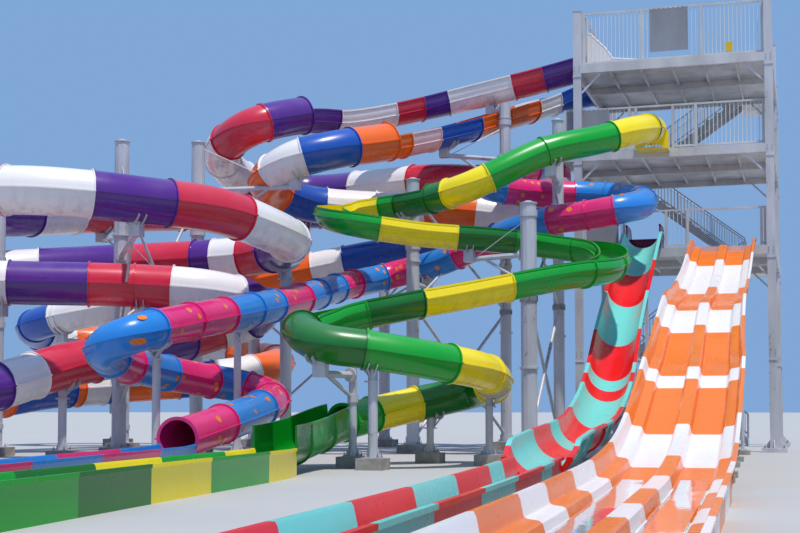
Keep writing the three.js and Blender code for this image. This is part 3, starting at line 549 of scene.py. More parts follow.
def double_lane_section(on_ground=False):
    """Two lanes side by side with a raised divider, a bench along each outer wall and turned-out rims."""
    height = 0.46
    under = UNDERSIDE if on_ground else -0.07
    inner = [
        [1.165, height], [1.09, height + 0.006], [1.062, height - 0.05], [1.03, 0.24], [1.015, 0.205],
        [0.98, 0.188], [0.85, 0.17], [0.81, 0.14], [0.775, 0.025], [0.74, 0.0],
        [0.21, 0.0], [0.175, 0.025], [0.145, 0.195], [0.11, 0.225],
    ]
    outer = [
        [1.165, height - 0.035], [1.135, height - 0.05], [1.1, height - 0.09], [1.07, 0.2], [1.06, under],
        [1.0, under], [0.86, under], [0.83, under], [0.79, under], [0.74, under],
        [0.21, under], [0.17, under], [0.13, under], [0.1, under],
    ]
    return Section(mirrored(outer), mirrored(inner))


def red_flume(waypoint):
    rim = float(np.interp(waypoint, *zip(*RED_RIMS)))
    return arc_section(RED_RADIUS, rim, 22, lip=0.12, lift=RED_RADIUS - WALL)


RAFT_TUBE = arc_section(RAFT_RADIUS, 180, 36, (-90, 90), closed=True)
RAFT_FLUME = arc_section(RAFT_RADIUS, 100, 24, (-62, 62), lip=0.09)
BODY_TUBE = arc_section(BODY_RADIUS, 180, 32, (-90, 90), closed=True)
BODY_FLUME = arc_section(BODY_RADIUS, 122, 26, (-90, 90), lip=0.06)
BODY_TROUGH = arc_section(BODY_RADIUS, 90, 20, lip=0.06, wall_top=0.5)
GREEN_LANE = lane_section(0.4, 0.47, 0.5, drop=GREEN_LANE_DROP)
PINK_LANE = lane_section(0.38, 0.44, 0.5, drop=PINK_LANE_DROP)
RED_LANE = lane_section(0.36, 0.43, 0.4, 0.1)
DOUBLE_LANE = double_lane_section()
DOUBLE_RUN_OUT = double_lane_section(on_ground=True)


def read_points(text):
    """Places as (x, y, z)."""
    return [tuple(map(float, point.split())) for point in text.split(",")]


def read_pairs(text):
    """Waypoints, each with the name of the colour that ends or the slide that rests there."""
    pairs = [pair.split() for pair in text.split(",")]
    return [(float(waypoint), name) for waypoint, name in pairs]


def slot_of(name):
    return name + "_fibreglass"


# Each slide: the way it leaves its start, its centre line, its colour bands by the waypoint where each ends
# and the stretches that replace nodes, with their first and last waypoint
SLIDES = {
    "purple": {
        "leaves": (-1, 0, 0),
        "waypoints": read_points("""
            -0.15 1.5 15.3, -2.4 1.3 14.8, -5.8 0.8 14.1, -8.9 -1.7 13.1, -10 -3.6 12.8, -11.4 -5.3 12.1,
            -12.9 -4.4 11.6, -13.7 -2.1 11.2, -13.2 0 10.8, -11.6 1.6 10.75, -8.6 0.9 10.7, -5.9 0.1 10.65,
            -4.2 0.7 10.6, -3.8 2.8 10.55, -5.1 5.2 10.5, -8.9 6.1 10.45, -14.5 3.4 10.2, -18.1 -4.4 9.2,
            -19 -9.9 8.4, -19.2 -13.9 8.1, -17.5 -16.9 7.9, -14.9 -18.1 7.85, -12.9 -18.1 7.8,
            -11.5 -17.3 7.75, -10.4 -16.2 7.7, -8.8 -14.2 7.6, -8 -12.2 7.3, -8.1 -9.8 7.1, -9.8 -7.9 7,
            -12.1 -7.7 6.9, -14.8 -8.1 6.8, -18.9 -9.9 6.5, -20.4 -12.4 6.1, -19.9 -14.6 5.75,
            -18.2 -15 5.65, -16.2 -14.2 5.6, -12.4 -12.5 5.55, -10.3 -11.6 5.4, -9.4 -10.2 5.15,
            -9.8 -8.5 4.8, -11.2 -8.8 4.3, -12.6 -12.2 3.4, -13.7 -14.6 2.9, -14.3 -16.9 2.3,
            -14.8 -19.1 1.9, -15.1 -21.3 1.4, -15.5 -24 0.95, -15.8 -28 0.7
        """),
        "bands": read_pairs("""
            0.65 purple, 1.13 red, 1.9 white, 2.2 purple, 2.5 red, 3.35 white, 4.73 purple, 5.75 red,
            7.5 white, 8.1 purple, 8.7 red, 9.75 purple, 10.7 white, 12 red, 13.2 purple, 14.4 white,
            15.3 red, 15.9 purple, 16.5 white, 17.25 red, 17.7 white, 18.3 purple, 19 red, 19.6 white,
            20.4 purple, 21.7 red, 23.12 white, 24.4 purple, 25.45 red, 26.8 white, 27.8 purple, 28.4 red,
            28.85 white, 29.15 purple, 30.1 red, 30.7 purple, 31.3 white, 32 red, 33 purple, 34.2 white,
            34.7 red, 35.07 white, 35.65 purple, 36.5 red, 37.6 white, 39.2 purple, 39.9 white, 40.4 red,
            41.2 purple, 41.55 white, 42.5 red, 43.1 white, 44.2 purple, 45.2 red, 46 white, 47 purple
        """),
        "stretches": [
            ("start_flume", 0, 4, RAFT_FLUME), ("upper_turns", 4, 20, RAFT_TUBE),
            ("lower_loops", 20, 36, RAFT_TUBE), ("exit", 36, 47, RAFT_TUBE),
        ],
    },
    "blue": {
        "leaves": (-1, 0, 0),
        "waypoints": read_points("""
            -0.15 5.6 15.25, -1.6 4.9 14.85, -2.9 2.9 14, -4.7 -0.4 12.7, -6.6 -3.6 11.6, -8 -5.6 11,
            -9.3 -6.2 10.6, -10.5 -5.7 10.1, -10.9 -4.2 9.8, -9.9 -2.8 9.5, -7.3 -1.8 9.3, -4.7 -1.5 9.2,
            -2.4 -0.9 8.9, -1.5 0.5 8.7, -2.6 2 8.5, -5.1 2.1 8.3, -8.7 1.7 7.9, -13.2 1.2 7.1,
            -18 -0.2 6.2, -21.9 -0.8 5.5, -23.9 0.1 5.1, -24.1 2.1 4.8, -22 3.8 4.6, -18.8 4.3 4.4,
            -15.1 3.8 3.9, -13.1 1.8 3.5, -13.4 -0.4 3.1, -14.9 -1.9 2.8, -17.5 -4.2 2.5, -18.8 -6.7 2.3,
            -19.4 -9 2, -19.7 -12.2 1.7, -19.7 -15.3 1.3, -19.5 -19 0.95, -19.3 -23 0.7
        """),
        "bands": read_pairs("""
            1.2 blue, 1.8 white, 2.82 orange, 3.42 blue, 3.82 blush, 4.7 orange, 5.75 blue, 6.7 white,
            8.2 orange, 9.2 blue, 10.65 white, 11.4 orange, 12 white, 13 blue, 14 white, 15 orange,
            16.3 blue, 16.6 white, 17.25 orange, 17.8 blue, 18.3 orange, 19.1 white, 20.6 blue, 21.4 white,
            22.2 orange, 23 blue, 23.7 white, 26 orange, 26.8 white, 27.3 blue, 27.95 orange, 28.2 blue,
            28.6 white, 28.75 orange, 30 blue, 30.6 orange, 31.4 white, 32.2 blue, 33 orange, 33.5 white,
            34 blue
        """),
        "stretches": [
            ("start_flume", 0, 4, RAFT_FLUME), ("upper_turns", 4, 19, RAFT_TUBE),
            ("lower_turns", 19, 34, RAFT_TUBE),
        ],
    },
    "green": {
        "leaves": (0, -1, 0),
        "waypoints": read_points("""
            2.9 -0.9 12, 2.95 -2.5 11.75, 2.5 -3.9 11.4, 1.6 -4.8 11, -0.2 -6.1 10.4, -2.5 -7.1 9.2,
            -4.1 -6.5 8.9, -6.2 -5.5 8.85, -7.4 -5.8 8.7, -7.6 -7.3 8.4, -6.6 -8.3 8, -4.2 -7.6 7.6,
            -1.6 -6.7 7.4, 0.5 -6.5 7.1, 1.9 -7.2 6.8, 2.5 -8.7 6.3, 2.4 -10.4 5.9, 1.5 -12.1 5.6,
            -1 -14.4 4.9, -2.9 -16 4.4, -4.2 -16.8 4, -4.6 -17.8 3.7, -3.8 -18.6 3.3, -2.5 -18.2 3.1,
            -0.9 -17 2.8, -0.2 -15.5 2.6, -0.3 -13.7 2.3, -1.2 -12.7 2.1, -3.1 -13.9 1.6, -4.1 -15.9 1.2,
            -4.1 -19 0.8, -3.62 -22.2 0.66, -3.38 -23.6 0.66, -2.7 -30.5 0.66, -1.9 -38 0.65
        """),
        "bands": read_pairs("""
            1.1 yellow, 1.2 dark_green, 2.7 yellow, 4 green, 4.75 green, 5.55 yellow, 6.6 dark_green,
            7 green, 8.9 yellow, 10.5 green, 11.45 yellow, 12.25 dark_green, 14.6 green, 16.6 green,
            17.6 green, 18.55 yellow, 19.3 dark_green, 20.9 green, 22.85 dark_green, 24.1 green,
            26.2 yellow, 27.75 dark_green, 28.45 yellow, 29.6 green, 30.37 green, 31 dark_green,
            32.225 yellow, 32.735 green, 33.14 yellow, 33.525 dark_green, 34 green
        """),
        "stretches": [
            ("start", 0, 6, BODY_TUBE), ("upper_flume", 6, 21, BODY_FLUME),
            ("lower_tube", 21, 29, BODY_TUBE), ("end_flume", 29, 31, BODY_TROUGH),
            ("run_out", 31, 34, GREEN_LANE),
        ],
    },
    "pink": {
        "leaves": (0, -1, 0),
        "waypoints": read_points("""
            -1.2 0.7 11.25, -1.6 -1 10.75, -2.2 -2.5 10.3, -2.9 -3.4 9.9, -2.3 -4 9.55, -1 -3.1 9.45,
            0.7 -2.5 9.4, 2.2 -2.8 9.2, 2.9 -4 8.8, 2.3 -5.2 8.45, 1.1 -5.1 8.3, -0.1 -4.95 8.2,
            -1.2 -4.4 8.05, -2.8 -3.6 7.7, -4.6 -3 7.1, -6.8 -2.9 6.6, -7.7 -5 6.1, -7.9 -9.1 5.3,
            -7.8 -13.6 4.6, -8.1 -18.1 3.9, -8.4 -20.2 3.5, -9.1 -20.3 3.2, -9.7 -18.6 2.9, -9.8 -16.1 2.7,
            -9.4 -14.2 2.5, -8.6 -12.8 2.3, -7.5 -13 2, -6.9 -14.7 1.7, -6.6 -17.7 1.3, -6.7 -21 0.83,
            -6.35 -23.2 0.79, -5.7 -26.8 0.79, -4.9 -31.4 0.79, -4.2 -36 0.77
        """),
        "bands": read_pairs("""
            1.15 sky, 1.8 pink, 2.7 sky, 4.2 sky, 5.75 pink, 6.45 sky, 9.2 sky, 11.05 pink, 12.75 sky,
            13.7 pink, 14.45 sky, 15.1 pink, 15.85 sky, 16.25 pink, 17.05 sky, 17.65 pink, 18.42 sky,
            19.55 pink, 21.8 sky, 22.4 pink, 23.3 sky, 24.35 pink, 25.3 sky, 27.3 pink, 28.25 sky, 29 pink,
            30.22 sky, 31.24 pink, 32 sky, 33 pink
        """),
        "stretches": [
            ("upper_loops", 0, 10, BODY_TUBE), ("lower_loop", 10, 29, BODY_TUBE),
            ("run_out", 29, 33, PINK_LANE),
        ],
    },
    "red": {
        "leaves": (0, -1, 0),
        "waypoints": read_points("""
            2.5 -0.15 7.62, 2.5 -0.6 7.62, 2.55 -1.6 7.28, 2.6 -4.5 5.85, 2.62 -8.5 3.65, 2.78 -12.2 1.9,
            2.87 -15.3 1.02, 2.98 -18.5 0.62, 3.08 -22 0.44, 3.3 -26 0.25, 3.65 -32 0.16, 4.15 -42 0.12
        """),
        "bands": read_pairs("""
            2.75 turquoise, 3.4 scarlet, 4.05 turquoise, 4.67 scarlet, 4.87 turquoise, 5.1 scarlet,
            5.97 turquoise, 6.85 scarlet, 7.25 turquoise, 7.95 scarlet, 8.8 turquoise, 9.28 scarlet,
            9.53 turquoise, 10 scarlet, 10.3 turquoise, 10.58 scarlet, 10.825 turquoise, 11 scarlet
        """),
        "stretches": [
            ("drop", 0, 9, red_flume), ("run_out", 9, 10, RED_LANE), ("run_out_end", 10, 11, RED_LANE),
        ],
    },
    "orange": {
        "leaves": (0, -1, 0),
        "waypoints": read_points("""
            5.45 -0.15 7.42, 5.45 -0.6 7.42, 5.45 -1.5 7.15, 5.45 -5 5.9, 5.5 -9.5 4.85, 5.55 -12 4.5,
            5.6 -14.5 3.75, 5.7 -17.6 2.75, 5.8 -19.6 2.4, 5.85 -22 1.6, 5.9 -25 0.75, 6 -28.5 0.35,
            6.15 -34 0.18, 6.4 -42 0.1
        """),
        "bands": read_pairs("""
            2.45 amber, 3.55 white, 5.2 amber, 6.15 white, 8.1 amber, 8.48 white, 9.6 amber, 10.5 white,
            11.25 amber, 11.7 white, 12.1 amber, 12.35 white, 12.65 amber, 13 white
        """),
        "stretches": [
            ("start_lanes", 0, 4, DOUBLE_LANE), ("upper_lanes", 4, 7, DOUBLE_LANE),
            ("lower_lanes", 7, 11, DOUBLE_LANE), ("run_out", 11, 12.4, DOUBLE_RUN_OUT),
            ("run_out_end", 12.4, 13, DOUBLE_RUN_OUT),
        ],
    },
}


def colour_at(bands, waypoint):
    return next((colour for end, colour in bands if waypoint <= end), bands[-1][1])


def section_seams(route, slide, start, end):
    """The lengths where the sections are bolted together, from start to end."""
    edges = [start] + [route.length_at(w) for w, _ in slide["bands"]] + [end]
    edges = sorted(edge for edge in edges if start <= edge <= end)
    seams = []
    for low, high in zip(edges, edges[1:]):
        parts = max(1, math.ceil((high - low) / LONGEST_SECTION))
        seams.extend(low + (high - low) * i / parts for i in range(parts))
    seams.append(end)
    return [seam for i, seam in enumerate(seams) if i == 0 or seam - seams[i - 1] > 4 * FLANGE_HALF]


def station_list(route, slide, start, end, flange_height):
    """Stations as (length, flange height), with a raised flange at each seam."""
    seams = section_seams(route, slide, start, end)
    stations = {}
    count = math.ceil((end - start) / STATION_STEP)
    for i in range(count + 1):
        length = start + (end - start) * i / count
        if all(abs(length - seam) > SEAM_CLEARANCE for seam in seams):
            stations[round(length, 4)] = 0.0
    flat = FLANGE_HALF - FLANGE_EDGE
    for seam in seams:
        for offset, raised in ((-FLANGE_HALF, 0), (-flat, 1), (0, 1), (flat, 1), (FLANGE_HALF, 0)):
            length = seam + offset
            if start <= length <= end:
                stations[round(length, 4)] = raised * flange_height
    return sorted(stations.items())


def skin_points(route, section_at, stations):
    """An outer and an inner ring of points at each station, none below the ground, and the last section."""
    rings = []
    for length, raised in stations:
        place, side, up, _ = route.frame(length)
        section = section_at(route.waypoint_at(length)) if callable(section_at) else section_at
        outward = section.outer - section.inner
        outward /= np.maximum(np.linalg.norm(outward, axis=1), 1e-6)[:, None]
        for skin in (section.outer + outward * raised, section.inner):
            ring = place + skin[:, :1] * side + skin[:, 1:] * up
            ring[skin[:, 1] == UNDERSIDE, 2] = 0.0
            rings.append(ring)
    points = np.concatenate(rings)
    points[:, 2] = np.maximum(points[:, 2], 0.0)
    return points, section


def sweep_skin(route, slide, section_at, start, end, flange_height):
    """The vertices, faces and colours of one stretch, swept along its stations as one closed skin."""
    stations = station_list(route, slide, start, end, flange_height)
    vertices, section = skin_points(route, section_at, stations)
    count = len(section.outer)
    last = count - 1
    pairs = [(k, (k + 1) % count) for k in range(count if section.closed else last)]
    faces = []
    colours = []

    def paint(strip, length):
        faces.extend(strip)
        colours.extend([colour_at(slide["bands"], route.waypoint_at(length))] * len(strip))

    for i, ((here, _), (there, _)) in enumerate(zip(stations, stations[1:])):
        low, high = 2 * i * count, 2 * (i + 1) * count
        strip = []
        for k, n in pairs:
            strip.append((low + k, high + k, high + n, low + n))
            strip.append((low + count + k, low + count + n, high + count + n, high + count + k))
        if not section.closed:
            strip.append((low, low + count, high + count, high))
            strip.append((low + last, high + last, high + count + last, low + count + last))
        paint(strip, (here + there) / 2)
    top = 2 * (len(stations) - 1) * count
    paint([(k, n, count + n, count + k) for k, n in pairs], start + END_INSET)
    paint([(top + count + k, top + count + n, top + n, top + k) for k, n in pairs], end - END_INSET)
    return vertices, faces, colours


ROUTES = {name: Route(slide["waypoints"], slide["leaves"]) for name, slide in SLIDES.items()}


def build_slide(name, coats, lane_coats):
    slide = SLIDES[name]
    route = ROUTES[name]
    for stretch, first, last, section in slide["stretches"]:
        start, end = route.length_at(first), route.length_at(last)
        is_run_out = stretch.startswith("run_out")
        flange_height = 0.0 if is_run_out else FLANGE_HEIGHT
        vertices, faces, colours = sweep_skin(route, slide, section, start, end, flange_height)
        names = sorted(set(colours))
        node = f"{name}_slide_{stretch}"
        indices = [names.index(colour) for colour in colours]
        palette = lane_coats if is_run_out or name in TRESTLES else coats
        materials = [palette[n] for n in names]
        make_piece(node + "_skin", vertices, faces, materials, indices, (node,), SKIN_SHARP)


def dot_patch(route, length, degrees, size):
    """A thin raised disc that follows the body tube's curve, as a closed lens."""
    sides = 12
    points = []
    for height in (0.006, -0.012):
        for i in range(sides):
            turn = 2 * math.pi * i / sides
            angle = math.radians(degrees) + size * math.sin(turn) / BODY_RADIUS
            place, side, up, _ = route.frame(length + size * math.cos(turn))
            outwards = side * math.sin(angle) - up * math.cos(angle)
            points.append(place + outwards * (BODY_RADIUS + height))
    return points, lofted_faces(sides)


def build_dots(coats):
    """Round orange spots scattered over the pink slide's tubes, clear of the ribs at both sides."""
    chance = random.Random(7)
    route = ROUTES["pink"]
    for stretch, first, last, section in SLIDES["pink"]["stretches"]:
        if section is not BODY_TUBE:
            continue
        heap = Heap()
        length = route.length_at(first) + 0.5
        while length < route.length_at(last) - 0.4:
            degrees = chance.uniform(15, 345)
            if min(abs(degrees - 90), abs(degrees - 270)) > 14:
                heap.add(*dot_patch(route, length, degrees, chance.uniform(0.07, 0.1)))
            length += chance.uniform(0.06, 0.22)
        heap.piece(f"pink_slide_{stretch}_dots", [coats["dot"]], slot_of("pink"))


def sweep_beam(heap, route, first, last, outline):
    """A closed outline of (sideways, up) places, swept along a slide from one waypoint to another."""
    start, end = route.length_at(first), route.length_at(last)
    count = math.ceil((end - start) / (2 * STATION_STEP))
    points = []
    for i in range(count + 1):
        place, side, up, _ = route.frame(start + (end - start) * i / count)
        points += [place + side * across + up * rise for across, rise in outline]
    heap.add(points, lofted_faces(len(outline), count + 1))


# Trestles: beams by their offset from the centre line, the waypoints they span and those where legs stand
TRESTLES = {
    "red": {"beams": (0,), "from": 1, "to": 8.6, "legs": (3, 4, 5, 6, 7), "skin": 0.037},
    "orange": {"beams": (-0.7, 0.7), "from": 1, "to": 10.4, "legs": (2.5, 4, 5.7, 8, 9), "skin": 0.072},
}
BEAM_WIDTH = 0.12
BEAM_DEPTH = 0.24
BEAM_FLANGE = 0.02
BEAM_WEB_HALF = 0.012
CROSS_BEAM_DEPTH = 0.16
LEG_HALF = 0.06
LEG_REACH = 0.45
LEG_FOOT = 0.25
LEG_FOOT_HEIGHT = 0.15
LEG_PLATE = 0.14
LEG_PLATE_TOP = LEG_FOOT_HEIGHT + 0.02
# Cross bars stand between legs, and level bars between trestles, where the head is higher than this
CROSSED_FROM = 1.6
TIED_FROM = 1.2


def beam_outline(middle, top):
    """An I beam's outline as (sideways, up)."""
    low, high = middle - BEAM_WIDTH / 2, middle + BEAM_WIDTH / 2
    left, right = middle - BEAM_WEB_HALF, middle + BEAM_WEB_HALF
    bottom = top - BEAM_DEPTH
    lower, upper = bottom + BEAM_FLANGE, top - BEAM_FLANGE
    return [
        (low, bottom), (high, bottom), (high, lower), (right, lower), (right, upper), (high, upper),
        (high, top), (low, top), (low, upper), (left, upper), (left, lower), (low, lower),
    ]


def build_trestle(name, materials):
    """Beams under a chute, on pairs of legs with a cross beam, bracing and small footings."""
    trestle = TRESTLES[name]
    route = ROUTES[name]
    heap = Heap()
    for offset in trestle["beams"]:
        sweep_beam(heap, route, trestle["from"], trestle["to"], beam_outline(offset, -trestle["skin"]))
    reach = max(abs(trestle["beams"][0]), LEG_REACH)
    heads = []
    for waypoint in trestle["legs"]:
        x, y, z = route.place(waypoint)
        top = z - trestle["skin"] - BEAM_DEPTH + BEAM_FLANGE
        under = top - CROSS_BEAM_DEPTH
        heap.box((x - reach - LEG_HALF, y - LEG_HALF, under), (x + reach + LEG_HALF, y + LEG_HALF, top))
        for leg_x in (x - reach, x + reach):
            heap.block(leg_x, y, LEG_HALF, LEG_FOOT_HEIGHT, under)
            heap.block(leg_x, y, LEG_FOOT, 0, LEG_FOOT_HEIGHT, STONE)
            heap.block(leg_x, y, LEG_PLATE, LEG_FOOT_HEIGHT, LEG_PLATE_TOP)
            for corner in corners(leg_x, y, 0.1):
                heap.bolt((*corner, LEG_PLATE_TOP), UP, 0.02)
        if top > CROSSED_FROM:
            for side in (-reach, reach):
                heap.bar((x + side, y, 0.4), (x - side, y, top - 0.2), 0.03, 6)
        heads.append((x, y, top))
    for (x0, y0, _), (x1, y1, top) in zip(heads, heads[1:]):
        for side in (-reach, reach):
            head = (x1 + side, y1, top - 0.2)
            heap.bar((x0 + side, y0, 0.45), head, 0.035, 6)
            if top > TIED_FROM:
                heap.bar((x0 + side, y0, top - 0.2), head, 0.035, 6)
    node = f"{name}_slide_trestle"
    heap.piece(node + "_frame", materials, "galvanised_steel", (node,))


# Start tubs. A raft tub's profile runs from the flume over the deck, as (x, height above the deck).
RAFT_TUB_PROFILE = [(-0.27, 0), (2.3, 0), (2.3, 0.27), (1.25, 0.4), (0.95, 0.85), (0.35, 1.45), (-0.27, 1.45)]
TUB_WALL = 0.06
TUB_RIM = 0.045
TUB_LIFT = 0.002
BODY_TUBS = {
    "green": ((2.3, -0.95, 11.3), (3.5, -0.15, 12)),
    "pink": ((-1.8, 0.65, 10.66), (-0.6, 1.9, 11.75)),
}
RED_TUB_HALF = 0.65
RED_TUB_FRONT = -0.4
RED_TUB_REAR = 0.95
RED_TUB_HEIGHT = 0.85
RED_TUB_BACK = 0.45


def tub_walls(heap, outline, middle, half, axis):
    """Two side walls in the shape of an outline, each with a round rim from the third point on."""
    for low in (middle - half, middle + half - TUB_WALL):
        heap.prism(outline, low, low + TUB_WALL, axis)
        centre = low + TUB_WALL / 2
        rim = [(a, centre, up) if axis == "y" else (centre, a, up) for a, up in outline[2:]]
        for start, end in zip(rim, rim[1:]):
            heap.bar(start, end, TUB_RIM)


def build_raft_tub(name, coat):
    """Two side walls that step down away from the flume, each with a thick rim, and a floor."""
    y = SLIDES[name]["waypoints"][0][1]
    deck = DECK_TOPS["top"] + TUB_LIFT
    half = RAFT_RADIUS + 0.02
    (front, _), (rear, _) = RAFT_TUB_PROFILE[:2]
    heap = Heap()
    tub_walls(heap, [(x, deck + up) for x, up in RAFT_TUB_PROFILE], y, half, "y")
    heap.box((front, y - half + TUB_WALL, deck), (rear, y + half - TUB_WALL, deck + TUB_WALL))
    heap.piece(f"{name}_slide_start_tub", [coat], slot_of(name))


def build_body_tub(name, coat):
    """An open box round a tube's mouth: its floor, side and back walls and the front wall in two halves."""
    (x0, y0, z0), (x1, y1, z1) = BODY_TUBS[name]
    x, _, z = SLIDES[name]["waypoints"][0]
    deck = DECK_TOPS["middle"]
    bore = BODY_RADIUS - 0.03
    floor = z0 + TUB_WALL
    left, right = x0 + TUB_WALL, x1 - TUB_WALL
    heap = Heap()
    heap.box((x0, y0, z0), (x1, y1, floor))
    heap.box((x0, y0, floor), (left, y1, z1))
    heap.box((right, y0, floor), (x1, y1, z1 if name == "green" else deck))
    heap.box((left, y1 - TUB_WALL, floor), (right, y1, z1 if name == "pink" else deck))
    bottom, top = max(floor, z - bore), min(z1, z + bore)
    steps = 8
    for sign, edge in ((-1, left), (1, right)):
        outline = [(edge, floor)]
        for i in range(steps + 1):
            height = bottom + (top - bottom) * i / steps
            outline.append((x + sign * math.sqrt(max(bore**2 - (height - z) ** 2, 0)), height))
        outline.append((edge, z1))
        heap.prism(outline, y0, y0 + TUB_WALL, "y")
    heap.piece(f"{name}_slide_start_tub", [coat], slot_of(name))


def build_red_tub(coat):
    """Two side walls with rounded rims, a floor and a low back wall to step over."""
    x = SLIDES["red"]["waypoints"][0][0]
    deck = DECK_TOPS["low"] + TUB_LIFT
    top, back = deck + RED_TUB_HEIGHT, deck + RED_TUB_BACK
    half = RED_TUB_HALF
    left, right = x - half + TUB_WALL, x + half - TUB_WALL
    outline = [
        (RED_TUB_FRONT, deck), (RED_TUB_REAR, deck), (RED_TUB_REAR, back),
        (RED_TUB_REAR - 0.3, top - 0.05), (RED_TUB_REAR - 0.45, top), (RED_TUB_FRONT, top),
    ]
    heap = Heap()
    tub_walls(heap, outline, x, half, "x")
    heap.box((left, RED_TUB_REAR - TUB_WALL, deck), (right, RED_TUB_REAR, back))
    rim_y = RED_TUB_REAR - TUB_WALL / 2
    heap.bar((x - half, rim_y, back), (x + half, rim_y, back), TUB_RIM)
    heap.box((left, -0.1, deck), (right, RED_TUB_REAR - TUB_WALL, deck + TUB_WALL))
    heap.piece("red_slide_start_tub", [coat], slot_of("red"))


# Water that stands in the run-out lanes: slide, waypoints, sideways offset, half width, level over the line
POOLS = (
    ("red", 9.02, 10.98, 0, 0.33, 0.07),
    ("orange", 11.05, 12.98, -0.475, 0.25, 0.05),
    ("orange", 11.05, 12.98, 0.475, 0.25, 0.05),
    ("green", 32, 33.98, 0, 0.36, 0.07 - GREEN_LANE_DROP),
    ("pink", 30, 32.98, 0, 0.34, 0.07 - PINK_LANE_DROP),
)
WATER_DEPTH = 0.02


def build_pools(wet):
    for i, (name, first, last, offset, half, level) in enumerate(POOLS):
        left, right, low = offset - half, offset + half, level - WATER_DEPTH
        outline = [(left, low), (right, low), (right, level), (left, level)]
        heap = Heap()
        sweep_beam(heap, ROUTES[name], first, last, outline)
        heap.piece(f"{name}_slide_water_{i}", [wet], slot_of(name))


# Tower


def railing_bars(heap, start, end, low, high, gaps=()):
    """Upright bars between two points, left out where a gap is."""
    start, end = np.array(start, float), np.array(end, float)
    run = np.linalg.norm(end - start)
    count = int(run / BALUSTER_SPACING)
    for i in range(1, count):
        x, y = start + (end - start) * i / count
        along = x if abs(end[0] - start[0]) > abs(end[1] - start[1]) else y
        if any(a < along < b for a, b in gaps):
            continue
        heap.bar((x, y, low), (x, y, high), BALUSTER_RADIUS, 6)


def build_railings(steel, panel_steel, warning):
    right = TOWER_WIDTH - RAIL_INSET
    rear = TOWER_DEPTH - COLUMN_SIZE
    # By deck: the left rail's place, the stretches without bars in front and at the left, and the panels
    levels = {
        "top": (RAIL_INSET, [], [(0.7, 2.3), (4.8, 6.4)], [(2.75, 4.2)]),
        "middle": (MIDDLE_DECK_EDGE + RAIL_SIZE, [(2.2, 3.6)], [(0.75, 1.85)], [(-0.48, 1.2)]),
        "low": (RAIL_INSET, [(1.6, 3.4), (4.1, 6.8)], [], [(0.3, 1.5)]),
    }
    for level, (left, front_gaps, left_gaps, panels) in levels.items():
        low = DECK_TOPS[level] + RAIL_LIFT
        high = DECK_TOPS[level] + RAIL_HEIGHTS[level] - RAIL_SIZE / 2
        heap = Heap()
        railing_bars(heap, (left, RAIL_INSET), (right, RAIL_INSET), low, high, front_gaps + panels)
        railing_bars(heap, (left, RAIL_INSET), (left, rear), low, high, left_gaps)
        railing_bars(heap, (right, RAIL_INSET), (right, rear), low, high)
        heap.piece(f"railing_{level}_bars", [steel], "deck_steel")
        sheets = Heap()
        for a, b in panels:
            corrugated(sheets, a, b, RAIL_INSET, low + (0.25 if level == "top" else 0.0), high)
        if level == "top":
            # The yellow plate
            sheets.box((5.6, RAIL_INSET - 0.05, low + 0.08), (5.84, RAIL_INSET + 0.02, low + 0.42), 1)
        sheets.piece(f"railing_{level}_panel", [panel_steel, warning], "deck_steel")


def corrugated(heap, start, end, y, low, high):
    """A sheet with upright ribs between two places along X."""
    width = end - start
    ribs = round(width / SHEET_RIB_SPACING)
    face = y - SHEET_FORWARD
    front = [(start + width * i / ribs, face + SHEET_RIB_DEPTH * (i % 2)) for i in range(ribs + 1)]
    back = [(x, depth + SHEET_THICKNESS) for x, depth in reversed(front)]
    heap.prism(front + back, low, high, "z")


def build_flight(heap, from_x, to_x, from_z, to_z, y):
    """Treads between two stringers, with handrails and bars."""
    rise = (to_z - from_z) / STEPS_PER_FLIGHT
    going = (to_x - from_x) / STEPS_PER_FLIGHT
    overlap = math.copysign(TREAD_OVERLAP, going)
    near, far = y + STRINGER, y + FLIGHT_WIDTH - STRINGER
    for i in range(STEPS_PER_FLIGHT):
        x0 = from_x + going * i
        x1 = x0 + going + overlap
        z = from_z + rise * (i + 1)
        heap.box((min(x0, x1), near, z - TREAD), (max(x0, x1), far, z))
        heap.box((x0 - RISER_HALF, near, z - rise + 0.02), (x0 + RISER_HALF, far, z - TREAD))
    foot_z = from_z - STRINGER_DEPTH + rise if from_z > 1 else from_z
    outline = [(from_x, foot_z), (from_x, from_z + rise), (to_x, to_z + 0.06), (to_x, to_z - STRINGER_DEPTH)]
    for side in (y, far):
        heap.prism(outline, side, side + STRINGER, "y")
    for side in (y + STRINGER / 2, y + FLIGHT_WIDTH - STRINGER / 2):
        for height in (HANDRAIL, FOOT_RAIL):
            low, high = (from_x, side, from_z + rise + height), (to_x, side, to_z + height)
            heap.bar(low, high, HANDRAIL_RADIUS)
        count = int(abs(to_x - from_x) / STAIR_BAR_SPACING)
        for i in range(count + 1):
            x = from_x + (to_x - from_x) * i / count
            z = from_z + rise + (to_z - from_z - rise) * i / count
            radius = BALUSTER_RADIUS if i % 10 else STAIR_POST_RADIUS
            heap.bar((x, side, z + 0.02), (x, side, z + HANDRAIL), radius, 6)


